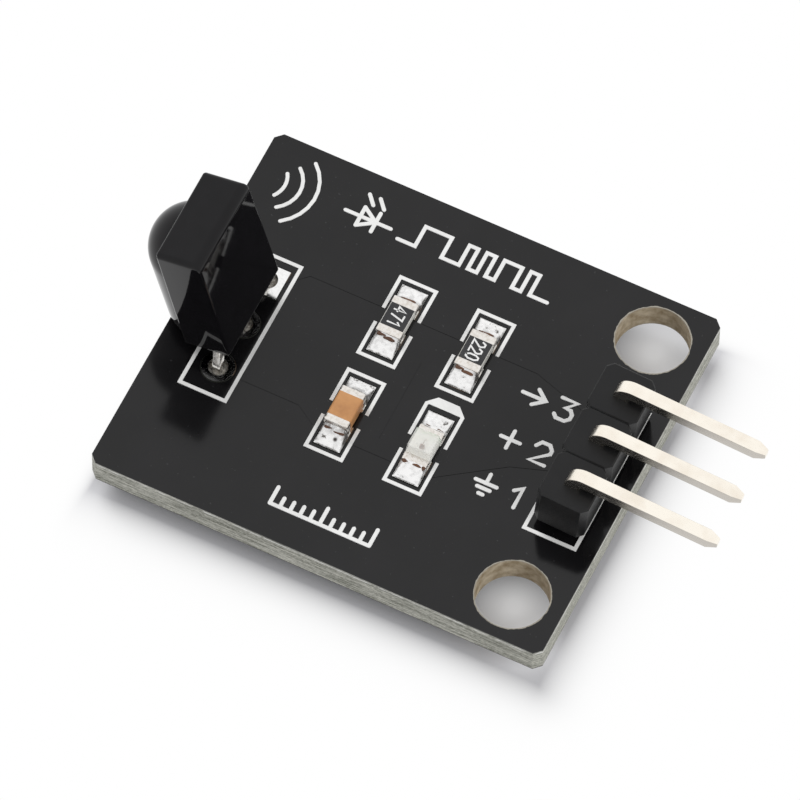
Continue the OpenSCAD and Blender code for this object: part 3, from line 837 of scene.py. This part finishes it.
    def build(self) -> None:
        """Prints the marks and the pins' numerals on the board."""
        s = self.shift
        plan = [
            (Mark.PHOTODIODE, (-6.7 + s, 6.75), (2.3, 1.75)),
            (Mark.PULSES, (-3.9 + s, 6.95), (7.6, 1.15)),
            (Mark.SCALE, (-3.0 + s, -8.0), (5.0, 0.9)),
            (Mark.ARROW, (4.75 + s, 1.85), (1.15, 0.85)),
            (Mark.PLUS, (4.85 + s, -0.7), (0.95, 0.95)),
            (Mark.GROUND, (4.8 + s, -3.35), (1.05, 1.1)),
        ]
        marks = Surface("printed_marks")
        for mark, low, size in plan:
            for k, stroke in enumerate(self.strokes(mark, low, size)):
                self.ribbon(marks, stroke, self.width, self.top, self.thickness + 0.0006 * k)
        for digit, y in (("3", 1.72), ("2", -0.78), ("1", -3.33)):
            self.write(marks, digit, (6.5 + s, y), (0.78, 0), (0, 1.08), self.width, self.top, self.thickness)
        place(marks.build(merge=0.0001), self.finishes["ink"], "ink")


@dataclass
class Chip:
    """One 0805 chip: a rounded block, metal ends, solder and a little flux."""

    finishes: Finishes
    name: str
    x: float
    y: float
    height: float
    solder_climb: float
    foot: float = 1.54
    length: float = 2.0
    width: float = 1.25
    end: float = 0.4
    pad_in: float = 0.45
    pad_out: float = 1.9
    pad_width: float = 1.3
    edge: float = 0.055

    def ends(self) -> None:
        """Builds both metal ends as rounded caps that stand a hair proud of the block."""
        surface = Surface(f"{self.name}_end_metal")
        for sign in (1, -1):
            y = sorted((self.y + sign * self.length / 2, self.y + sign * (self.length / 2 - self.end)))
            pillow(
                surface,
                (self.x - self.width / 2, y[0], self.foot),
                (self.x + self.width / 2, y[1], self.foot + self.height),
                self.edge,
            )
        place(surface.build(50), self.finishes["chip_end"], "chip_end_metal", f"{self.name}_ends")

    def block(self, finish: str, slot: str, node: str, lift: float = 0.03) -> None:
        """Builds the block between the ends.

        Args:
            finish: the finish's short name.
            slot: the record's slot.
            node: the CAD node that it stands for.
            lift: how far its skin lies inside the metal ends.
        """
        surface = Surface(f"{node}_rounded")
        inner = self.length / 2 - 0.12
        pillow(
            surface,
            (self.x - self.width / 2 + lift / 2, self.y - inner, self.foot + lift),
            (self.x + self.width / 2 - lift / 2, self.y + inner, self.foot + self.height - lift),
            self.edge * 0.9,
        )
        place(surface.build(50), self.finishes[finish], slot, node)

    def solder(self) -> None:
        """Builds the solder beyond each end.

        Across the pad u runs from -1 to 1 and along it v runs from 0 at the chip to 1 at the
        pad's outer end. The height is the low base plus the climb times (1 - v) to the power
        2.1, times (1 - |u| to the power 5) to the power 0.5, with the same fall at the outer
        end, plus a slow ripple.
        """
        surface = Surface(f"{self.name}_solder_fillets")
        u = np.linspace(-1, 1, 33)
        v = np.linspace(0, 1, 33)
        uu, vv = np.meshgrid(u, v)
        seed = sum(ord(c) for c in self.name)
        for sign in (1, -1):
            phase = 0.7 * seed + 1.9 * sign
            wave = 0.5 + 0.5 * np.sin(5.1 * uu + phase) * np.cos(6.3 * vv + 1.3 * phase)
            climb = (self.solder_climb - 0.1) * (1 - vv) ** 2.1
            side = np.clip(1 - np.abs(uu) ** 5, 0, 1) ** 0.5
            tip = np.clip(1 - vv**9, 0, 1) ** 0.5
            level = (0.1 + climb + 0.045 * wave * (1 - vv**3)) * side * tip
            y = self.y + sign * (self.length / 2 - 0.03 + (self.pad_out - self.length / 2 + 0.03) * vv)
            x = self.x + uu * self.pad_width / 2
            top = np.stack([x, y, self.foot - 0.01 + level], axis=-1)
            surface.grid(top, turn=Turn.OUT if sign > 0 else Turn.IN)
            under = top.copy()
            under[..., 2] = self.foot - 0.015
            surface.grid(under, turn=Turn.IN if sign > 0 else Turn.OUT)
            back = np.stack([under[0], top[0]])
            surface.grid(back)
        place(surface.build(60, 0.002), self.finishes["solder"], "solder", f"{self.name}_solder")

    def flux(self, blots: Sequence[Tuple[float, float, float, float, float]]) -> None:
        """Builds small dried drops of flux beside the solder.

        Each drop is the upper half of a ball, flattened and stretched: its radius at angle t
        varies by cos 3t.

        Args:
            blots: x and y from the chip's middle, both half sizes, and the height of the foot.
        """
        surface = Surface(f"{self.name}_flux")
        t = np.linspace(0, 2 * math.pi, 24, endpoint=False)
        p = np.linspace(0, math.pi / 2, 7)[:, None]
        for k, (dx, dy, half_x, half_y, rise) in enumerate(blots):
            wobble = 1 + 0.18 * np.cos(3 * t + 1.7 * k)[None, :]
            ring = np.stack(
                [
                    self.x + dx + half_x * wobble * np.cos(p) * np.cos(t),
                    self.y + dy + half_y * wobble * np.cos(p) * np.sin(t),
                    self.foot + rise + 0.05 * np.sin(p) * np.ones_like(t),
                ],
                axis=-1,
            )
            surface.grid(ring, wrap=True)
            surface.fan(ring[0], (self.x + dx, self.y + dy, self.foot + rise - 0.02), Turn.IN)
        place(surface.build(60), self.finishes["flux"], "solder")


@dataclass
class Resistor(Chip):
    """A chip resistor, with black glaze and a plain numeral code on its top."""

    code: str = "471"
    number: int = 1

    def build(self, printing: Printing) -> None:
        """Builds the resistor.

        Args:
            printing: what prints its numerals.
        """
        self.ends()
        self.block("ceramic", "chip_ceramic", f"{self.name}_body")
        half = self.length / 2 - self.end + 0.02
        glaze = Surface(f"{self.name}_glaze_coat")
        top = self.foot + self.height
        pillow(
            glaze,
            (self.x - self.width / 2 + 0.05, self.y - half, top - 0.06),
            (self.x + self.width / 2 - 0.05, self.y + half, top - 0.003),
            0.028,
        )
        place(glaze.build(50), self.finishes["glaze"], "chip_glaze", f"{self.name}_glaze")
        self.solder()
        level = self.solder_climb * 0.86
        blots = [(-0.30, -1.07, 0.22, 0.11, level), (0.14, -1.10, 0.28, 0.15, level - 0.05), (0.08, 1.06, 0.38, 0.07, level)]
        self.flux(blots)
        marks = Surface(f"{self.name}_numerals")
        for k, digit in enumerate(self.code):
            corner = (self.x - 0.3, self.y + 0.51 - 0.38 * k)
            printing.write(marks, digit, corner, (0, -0.26), (0.6, 0), 0.085, top - 0.004, 0.006)
        place(marks.build(merge=0.0001), self.finishes["ink"], "ink")


@dataclass
class Capacitor(Chip):
    """A chip capacitor: a brown block with rounded silver ends."""

    def build(self) -> None:
        """Builds the capacitor."""
        self.ends()
        self.block("capacitor", "capacitor_ceramic", "capacitor_body", 0.035)
        self.solder()
        self.flux([(-0.30, -1.09, 0.22, 0.12, 0.42), (0.26, -1.12, 0.26, 0.15, 0.38), (0.10, 1.07, 0.36, 0.07, 0.44)])


@dataclass
class Lamp(Chip):
    """A chip lamp: a pale base, a clear resin lens, its die and its bond wire."""

    lens: float = 0.5

    def build(self) -> None:
        """Builds the lamp."""
        self.ends()
        self.block("lamp_base", "lamp_base", "lamp_base", 0.02)
        self.solder()
        foot = self.foot + self.height - 0.03
        half = self.length / 2 - self.end
        lens = Surface("lamp_lens_rounded")
        rise = np.concatenate([[0.0, 0.04], np.linspace(0.1, 0.92, 8), [0.97, 1.0]])
        rings = []
        for share in rise:
            inset = 0.07 * share + 0.05 * (1 - math.sqrt(max(1 - max(share - 0.88, 0) ** 2 / 0.0144, 0)))
            outline = rounded_rectangle(self.width / 2 - inset * 0.6, half - inset, 0.08)
            rings.append(
                np.column_stack([outline + np.array([self.x, self.y]), np.full(len(outline), foot + self.lens * share)])
            )
        stack = np.stack(rings)
        lens.grid(stack, wrap=True)
        lens.fan(stack[0], (self.x, self.y, foot), Turn.IN)
        lens.fan(stack[-1], (self.x, self.y, foot + self.lens))
        place(lens.build(40), self.finishes["resin"], "lamp_lens", "lamp_lens")
        die = Surface("lamp_die_cut")
        pillow(die, (self.x - 0.12, self.y - 0.2, foot + 0.005), (self.x + 0.08, self.y + 0.0, foot + 0.12), 0.02)
        t = np.linspace(0, 1, 15)
        wire = np.column_stack(
            [self.x - 0.02 + 0.03 * t, self.y - 0.1 + 0.42 * t, foot + 0.12 + 0.16 * np.sin(math.pi * t) - 0.08 * t]
        )
        ring = rounded_rectangle(0.014, 0.014, 0.0139, 3)
        carry(die, wire, np.array([1.0, 0, 0]), ring, np.ones((15, 2)))
        place(die.build(50, 0.0001), self.finishes["lamp_die"], "lamp_die", "lamp_die")
        blots = [(-0.38, -1.03, 0.19, 0.12, 0.25), (0.20, -1.04, 0.22, 0.09, 0.25), (0.50, -1.00, 0.12, 0.16, 0.24)]
        blots += [(-0.28, 1.03, 0.14, 0.07, 0.25), (0.30, 1.03, 0.18, 0.06, 0.25)]
        self.flux(blots)


@dataclass
class Joints:
    """Solder in and round the plated holes: sunk in the hole above and a hollow cone below."""

    finishes: Finishes
    row: str
    holes: Sequence[Tuple[float, float]]
    hole: float
    pad: float
    foot: float = -0.04
    head: float = 1.54
    cone: float = 0.93
    sink: float = 0.36

    def build(self) -> None:
        """Builds the three joints.

        The cone's radius grows from the neck at its tip to the pad's edge by the height's
        share to the power 2.2. Above, the surface hangs between the hole's wall and the
        lead, and climbs by the radius's share to the power 4 where it wets the wall.
        """
        wide = self.pad / 2 - 0.07
        neck = self.hole / 2 - 0.11
        wall = self.hole / 2 - 0.006
        share = np.linspace(0, 1, 12)
        cone_r = neck + (wide - neck) * share**2.2
        cone_z = self.foot - self.cone * (1 - share)
        dish_r = wall * (1 - share) + 0.001 * share
        dish_z = self.head - self.sink + 0.16 * (1 - share) ** 4 - 0.03
        radius = np.concatenate([[0.001, neck * 0.7], cone_r, [wall], dish_r])
        z = np.concatenate([[self.foot - self.cone, self.foot - self.cone], cone_z, [self.foot + 0.001], dish_z])
        for k, hole in enumerate(self.holes):
            surface = Surface(f"{self.row}_solder_{k + 1}")
            revolve(surface, hole, radius, z)
            place(surface.build(50), self.finishes["joint"], "solder", f"{self.row}_joint_{k + 1}")


@dataclass
class Receiver:
    """The leaning receiver: a moulded slab with a thumb-shaped lens, on three leads."""

    finishes: Finishes
    origin: Tuple[float, float, float] = (-16.525, -0.16, 2.9)
    tilt: float = -13.0
    height: float = 6.9
    depth: float = 2.35
    depth_taper: float = 0.06
    width: float = 5.15
    width_taper: float = 0.15
    edge: float = 0.14
    back_edge: float = 0.42
    side_edge: float = 0.26
    lens_radius: float = 2.1
    lens_out: float = 1.893
    lens_height: float = 4.3
    lead_spacing: float = 2.1
    lead_depth: float = 0.8
    pitch: float = 2.54
    tail: float = 1.25

    @staticmethod
    def draw_in(radius: float, distance: float) -> float:
        """How far a wall draws in at a distance from the top, with a round edge of a radius."""
        return radius - math.sqrt(max(radius**2 - (radius - distance) ** 2, 0.0))

    def ring(self, z: float) -> np.ndarray:
        """One level outline of the body, counter-clockwise from its back right corner.

        It is the slab's rounded rectangle, whose corner radius falls to nothing at the foot
        and the top as on a ball, joined on its front to the lens's circle. The lens's radius
        is constant up to lens_height and then follows a ball. Near the top the back and the
        sides draw in by r - (r squared - (r - distance to the top) squared) to the power 0.5.

        Args:
            z: height above the body's foot.

        Returns:
            Array of n by 3 in the receiver's own frame.
        """
        share = min(max((z - self.edge) / (self.height - 2 * self.edge), 0.0), 1.0)
        depth = self.depth - self.depth_taper * share
        half = (self.width - self.width_taper * share) / 2
        near = min(z, self.height - z)
        corner = math.sqrt(max(self.edge**2 - max(self.edge - near, 0) ** 2, 1e-8))
        foot_fall = 0.18
        ball = self.lens_radius - (foot_fall - math.sqrt(foot_fall**2 - max(foot_fall - z, 0) ** 2))
        if z > self.lens_height:
            ball = math.sqrt(max(self.lens_radius**2 - (z - self.lens_height) ** 2, 0.0))
        axis = self.lens_radius - self.depth - self.lens_out
        inner = self.edge - corner
        front = -depth + inner
        back, side = 0.0 - inner, half - inner
        if self.height - z < self.back_edge:
            back = -self.draw_in(self.back_edge, self.height - z)
        if self.height - z < self.side_edge:
            side = half - self.draw_in(self.side_edge, self.height - z)
        t = np.linspace(0, math.pi / 2, 7)

        def bend(cx: float, cy: float, start: float) -> np.ndarray:
            """A quarter circle of the corner's radius, from a start angle."""
            return np.column_stack([cx + corner * np.cos(start + t), cy + corner * np.sin(start + t)])

        reach = front - axis
        chord = math.sqrt(max(ball**2 - reach**2, 0.0)) if ball > abs(reach) else 0.0
        swing = math.atan2(chord, -reach) if chord > 0 else 0.0
        angle = np.linspace(swing, -swing, 49)
        bulge = np.column_stack([axis - ball * np.cos(angle), ball * np.sin(angle)])
        if chord == 0.0:
            bulge = np.column_stack([np.full(49, front), np.zeros(49)])
        run = np.linspace(0, 1, 7)[1:-1, None]
        left, right = np.array([front, side - corner]), np.array([front, corner - side])
        face_left = left + (bulge[0] - left) * run
        face_right = bulge[-1] + (right - bulge[-1]) * run
        outline = np.vstack(
            [
                bend(back - corner, side - corner, 0.0),
                bend(front + corner, side - corner, math.pi / 2),
                face_left,
                bulge,
                face_right,
                bend(front + corner, corner - side, math.pi),
                bend(back - corner, corner - side, 1.5 * math.pi),
            ]
        )
        return np.column_stack([outline, np.full(len(outline), z)])

    def body(self) -> None:
        """Builds the body as level outlines from the foot to the top."""
        t = np.linspace(0, math.pi / 2, 8)
        rise = self.edge * (1 - np.cos(t))
        fall = np.concatenate([r * (1 - np.cos(t)) for r in (self.edge, self.side_edge, self.back_edge)])
        dome = self.lens_height + self.lens_radius * np.sin(np.linspace(0, math.pi / 2, 30))
        levels = np.unique(
            np.round(
                np.concatenate([rise, np.linspace(self.edge, self.lens_height, 12), dome, self.height - fall]), 5
            )
        )
        stack = np.stack([self.ring(float(z)) for z in levels])
        surface = Surface("receiver_body_moulded")
        moved = lean(stack, self.origin, self.tilt)
        surface.grid(moved, wrap=True)
        centre = lean(np.array([[-1.5, 0, 0], [-1.1, 0, self.height]]), self.origin, self.tilt)
        surface.fan(moved[0], centre[0], Turn.IN)
        surface.fan(moved[-1], centre[1])
        place(surface.build(40, 0.003), self.finishes["epoxy"], "receiver_epoxy", "receiver_body")

    def leads(self) -> None:
        """Builds the leads: a rounded strip that runs down, bends outwards and goes through the board."""
        profile = rounded_rectangle(0.25, 0.2, 0.06, 3)
        for k in (1, 0, -1):
            root = lean(
                np.array([[-self.lead_depth, k * self.lead_spacing, h] for h in (0.5, -0.05)]), self.origin, self.tilt
            )
            pad = np.array([self.origin[0] - 0.6, self.origin[1] + k * self.pitch, 1.85])
            knots = np.vstack([root, pad + np.array([0, 0, 0.0]), pad * [1, 1, 0] + [0, 0, -self.tail]])
            path = soften(knots, 0.22)
            surface = Surface(f"receiver_lead_{2 - k}_strip")
            scale = np.ones((len(path), 2))
            scale[-1] = 0.8
            carry(surface, path, np.array([0.0, 1.0, 0.0]), profile, scale)
            place(surface.build(50), self.finishes["lead"], "lead_metal", f"receiver_lead_{2 - k}")

    def build(self) -> None:
        """Builds the receiver."""
        self.body()
        self.leads()


def soften(knots: np.ndarray, radius: float, steps: int = 6) -> np.ndarray:
    """Rounds the inner corners of a path.

    Each inner knot becomes a parabola from the point radius before it to the point radius
    after it: (1 - t) squared a + 2 t (1 - t) knot + t squared b.

    Args:
        knots: array of n by 3.
        radius: how far from the knot the curve starts.
        steps: points per corner.

    Returns:
        The smooth path.
    """
    parts = [knots[:1]]
    t = np.linspace(0, 1, steps)[:, None]
    for before, knot, after in zip(knots[:-2], knots[1:-1], knots[2:]):
        reach_in = min(radius, np.linalg.norm(knot - before) * 0.45)
        reach_out = min(radius, np.linalg.norm(after - knot) * 0.45)
        a = knot + (before - knot) / np.linalg.norm(before - knot) * reach_in
        b = knot + (after - knot) / np.linalg.norm(after - knot) * reach_out
        parts.append((1 - t) ** 2 * a + 2 * t * (1 - t) * knot + t**2 * b)
    parts.append(knots[-1:])
    return np.vstack(parts)


@dataclass
class Header:
    """The right-angle header: three notched ways in one block and three bent pins."""

    finishes: Finishes
    origin: Tuple[float, float, float] = (0.325, 0.12, 0.75)
    tilt: float = 4.0
    pitch: float = 2.54
    width: float = 2.5
    foot: float = 1.25
    top: float = 3.75
    notch: float = 0.28
    score: float = 0.06
    side: float = 0.64
    bend: float = 0.9
    clear: float = 0.03
    reach: float = 7.2
    tip: float = 0.5
    tail: float = -1.985

    def way(self, surface: Surface, k: int) -> None:
        """Adds one way of the block: an octagon carried up, smaller at its foot and its top.

        Args:
            surface: the surface that it is added to.
            k: which way, from -1 to 1.
        """
        a, b, n = self.width / 2, self.pitch / 2, self.notch
        outline = np.array(
            [[a, b - n], [a - n, b], [n - a, b], [-a, b - n], [-a, n - b], [n - a, -b], [a - n, -b], [a, n - b]]
        )
        levels = [(0.05, self.foot), (0.012, self.foot + 0.02), (0.0, self.foot + 0.06)]
        levels += [(0.0, self.top - self.score), (0.025, self.top - 0.04), (self.score, self.top)]
        rings = []
        for inset, z in levels:
            factor = np.array([(a - inset) / a, (b - inset) / b])
            rings.append(np.column_stack([outline * factor + [0, k * self.pitch], np.full(8, z)]))
        stack = lean(np.stack(rings), self.origin, self.tilt)
        hubs = lean(np.array([[0, k * self.pitch, self.foot], [0, k * self.pitch, self.top]]), self.origin, self.tilt)
        surface.grid(stack, wrap=True)
        surface.fan(stack[0], hubs[0], Turn.IN)
        surface.fan(stack[-1], hubs[1])

    def block(self) -> None:
        """Builds the plastic block."""
        surface = Surface("header_block_moulded")
        for k in (-1, 0, 1):
            self.way(surface, k)
        place(surface.build(25, 0.0001), self.finishes["nylon"], "header_plastic", "header_body")

    def pin(self, k: int) -> None:
        """Builds one pin: a rounded square carried up, round a quarter circle and along.

        Args:
            k: which way, from -1 to 1.
        """
        rise = self.top + self.clear
        mid = self.bend - self.side / 2
        t = np.linspace(0, math.pi / 2, 17)
        post = np.array([[0, 0, self.tail], [0, 0, self.tail + 0.25], [0, 0, rise - 0.05]])
        arc = np.column_stack([mid - mid * np.cos(t), 0 * t, rise + mid * np.sin(t)])
        stop = self.reach
        lying = np.array([[x, 0, rise + mid] for x in (stop - self.tip - 0.06, stop - self.tip, stop - 0.06, stop)])
        path = np.vstack([post, arc, lying])
        scale = np.ones((len(path), 2))
        scale[0] = 0.62
        scale[-2:] = [[0.58, 0.58], [0.5, 0.5]]
        path[:, 1] += k * self.pitch
        surface = Surface(f"header_pin_{2 - k}_drawn")
        profile = rounded_rectangle(self.side / 2, self.side / 2, 0.04, 8)
        moved = lean(path, self.origin, self.tilt)
        carry(surface, moved, np.array([0.0, 1.0, 0.0]), profile, scale)
        place(surface.build(14), self.finishes["pin"], "pin_metal", f"header_pin_{2 - k}")

    def build(self) -> None:
        """Builds the header."""
        self.block()
        for k in (1, 0, -1):
            self.pin(k)


@dataclass
class Studio:
    """Pale floor, soft light and the camera that stands where the photo's stood."""

    floor_z: float = -1.25
    place: Tuple[float, float, float] = (100.9279, -234.6401, 462.3290)
    turn: Tuple[Tuple[float, float, float], ...] = (
        (0.89807196, -0.38759272, 0.20793903),
        (0.43975194, 0.7812948, -0.44294091),
        (0.00921899, 0.48923441, 0.87210361),
    )
    lens: float = 523.4903
    board_mid: float = -8.875
    board_half: Tuple[float, float] = (11.35, 9.64)
    fade: float = 8.0
    glow: float = 0.0
    lit_fade: float = 3.5
    painted_hole_light: float = 0.42
    painted_hole_light_spots: Tuple[Tuple[float, float], ...] = ((-0.3, 8.2), (-0.3, -6.5))
    sky: float = 0.47

    def camera(self) -> None:
        """Places the camera."""
        data = bpy.data.cameras.new("studio_camera")
        data.lens = self.lens
        data.sensor_width = 36.0
        data.clip_start = 0.01
        data.clip_end = 10.0
        data.dof.use_dof = False
        made = bpy.data.objects.new("studio_camera", data)
        bpy.context.scene.collection.objects.link(made)
        made.matrix_world = Matrix.Translation([c * MM for c in self.place]) @ Matrix(self.turn).to_4x4()
        bpy.context.scene.camera = made

    def floor(self) -> None:
        """Lays the pale floor, which turns into the white backdrop away from the board.

        The distance from the board's outline is the length of what x and y exceed its half
        sizes by, and it counts lit_fade times on the two sides that the light comes from. The camera sees the floor's
        own shade by the share (1 - distance / fade) to the power 9, and plain white for the rest, and painted light, a
        little white, on the floor under both holes, where light through the holes would fall.
        """
        size = 400.0
        surface = Surface("studio_floor")
        line = np.linspace(-size, size, 9)
        gx, gy = np.meshgrid(line, line)
        surface.grid(np.stack([gx - 8.0, gy, np.full_like(gx, self.floor_z)], axis=-1))
        floor = surface.build()
        s = Shader("studio_floor_pale")
        s.surface(Base_Color=(0.80, 0.80, 0.825), Roughness=0.9, Specular_IOR_Level=0.1)
        where = s.node("ShaderNodeSeparateXYZ", {0: s.place.outputs[0]})
        excess = []
        for k, mid, half, lit in ((0, self.board_mid, self.board_half[0], -1), (1, 0.0, self.board_half[1], 1)):
            offset = s.maths("MULTIPLY", s.maths("SUBTRACT", where.outputs[k], mid), lit)
            beyond = s.maths("MULTIPLY", s.maths("SUBTRACT", offset, half), self.lit_fade)
            short = s.maths("SUBTRACT", s.maths("MULTIPLY", offset, -1.0), half)
            excess.append(s.maths("MAXIMUM", s.maths("MAXIMUM", beyond, short), 0.0))
        squares = [s.maths("MULTIPLY", e, e) for e in excess]
        distance = s.maths("SQRT", s.maths("ADD", *squares))
        glow = s.node("ShaderNodeEmission", {"Color": (1.0, 1.0, 1.0), "Strength": 1.0})
        path = s.node("ShaderNodeLightPath")
        seen = path.outputs["Is Camera Ray"]
        for kind in ("Is Glossy Ray", "Is Transmission Ray"):
            seen = s.maths("MAXIMUM", seen, path.outputs[kind])
        near = s.maths("POWER", s.span(distance, 0.0, self.fade, 1.0, 0.0), 9.0)
        # Painted light: white spots on the floor under both holes, standing in for light that comes through them.
        spots = [s.away((x, y, self.floor_z)) for x, y in self.painted_hole_light_spots]
        through = s.span(s.maths("MINIMUM", *spots), 0.3, 2.3, self.painted_hole_light, 0.0)
        bright = s.maths("MAXIMUM", s.span(near, 0.0, 1.0, 1.0, self.glow), through)
        share = s.maths("MULTIPLY", bright, seen)
        mix = s.node("ShaderNodeMixShader", {0: share, 1: s.body.outputs[0], 2: glow.outputs[0]})
        s.tree.links.new(mix.outputs[0], s.output.inputs["Surface"])
        floor.data.materials.append(s.material)

    def world(self) -> None:
        """Shows a white backdrop to camera, glossy and transmission rays, and a soft sky to the rest."""
        world = bpy.data.worlds.new("studio_world")
        bpy.context.scene.world = world
        world.use_nodes = True
        nodes, links = world.node_tree.nodes, world.node_tree.links
        nodes.clear()
        output = nodes.new("ShaderNodeOutputWorld")
        backgrounds = []
        for strength in (self.sky, 1.0):
            made = nodes.new("ShaderNodeBackground")
            made.inputs["Color"].default_value = (1.0, 1.0, 1.0, 1.0)
            made.inputs["Strength"].default_value = strength
            backgrounds.append(made)
        path = nodes.new("ShaderNodeLightPath")
        seen = path.outputs["Is Camera Ray"]
        for kind in ("Is Glossy Ray", "Is Transmission Ray"):
            larger = nodes.new("ShaderNodeMath")
            larger.operation = "MAXIMUM"
            links.new(seen, larger.inputs[0])
            links.new(path.outputs[kind], larger.inputs[1])
            seen = larger.outputs[0]
        mix = nodes.new("ShaderNodeMixShader")
        links.new(seen, mix.inputs[0])
        links.new(backgrounds[0].outputs[0], mix.inputs[1])
        links.new(backgrounds[1].outputs[0], mix.inputs[2])
        links.new(mix.outputs[0], output.inputs["Surface"])

    def lamp(self, name: str, at: Sequence[float], size: float, power: float) -> None:
        """Hangs one square soft lamp that looks at the board's middle.

        Glossy rays see the white backdrop in its place.

        Args:
            name: the lamp's name.
            at: its place, in millimetres.
            size: its side, in millimetres.
            power: its power, in watts.
        """
        data = bpy.data.lights.new(name, "AREA")
        data.shape = "SQUARE"
        data.size = size * MM
        data.energy = power
        made = bpy.data.objects.new(name, data)
        bpy.context.scene.collection.objects.link(made)
        made.visible_glossy = False
        start = np.array(at, float)
        ahead = np.array([-8.0, 0.0, 0.0]) - start
        ahead /= np.linalg.norm(ahead)
        right = np.cross(ahead, [0.0, 0.0, 1.0])
        right /= np.linalg.norm(right)
        up = np.cross(right, ahead)
        turn = Matrix([[right[i], up[i], -ahead[i]] for i in range(3)])
        made.matrix_world = Matrix.Translation([c * MM for c in at]) @ turn.to_4x4()

    def build(self) -> None:
        """Sets up the whole studio."""
        self.camera()
        self.floor()
        self.world()
        self.lamp("key_lamp", (-240.0, 170.0, 300.0), 200.0, 0.75)
        self.lamp("fill_lamp", (340.0, -90.0, 230.0), 200.0, 0.52)
        bpy.context.scene.view_settings.view_transform = "Standard"


def main() -> None:
    """Builds every sub-assembly, dresses the CAD nodes and sets up the studio."""
    logging.basicConfig(level=logging.INFO, format="%(name)s: %(message)s")
    finishes = Finishes()
    finishes.prepare()
    Studio().build()
    Board(finishes).dress()
    printing = Printing(finishes)
    printing.build()
    left, right, far, near = -10.845, -6.885, 3.0, -2.4
    Resistor(finishes, "resistor_1", left, far, 0.5, 0.45, code="471").build(printing)
    Resistor(finishes, "resistor_2", right, far, 0.5, 0.45, code="220").build(printing)
    Capacitor(finishes, "capacitor", left, near, 0.85, 0.6, edge=0.13).build()
    Lamp(finishes, "lamp", right, near, 0.3, 0.3).build()
    receiver_holes = [(-17.125, -0.16 + k * 2.54) for k in (1, 0, -1)]
    header_holes = [(0.325, 0.12 + k * 2.54) for k in (1, 0, -1)]
    Joints(finishes, "receiver", receiver_holes, 0.95, 1.58).build()
    Joints(finishes, "header", header_holes, 1.06, 1.7).build()
    Receiver(finishes).build()
    Header(finishes).build()


if __name__ == "__main__":
    main()
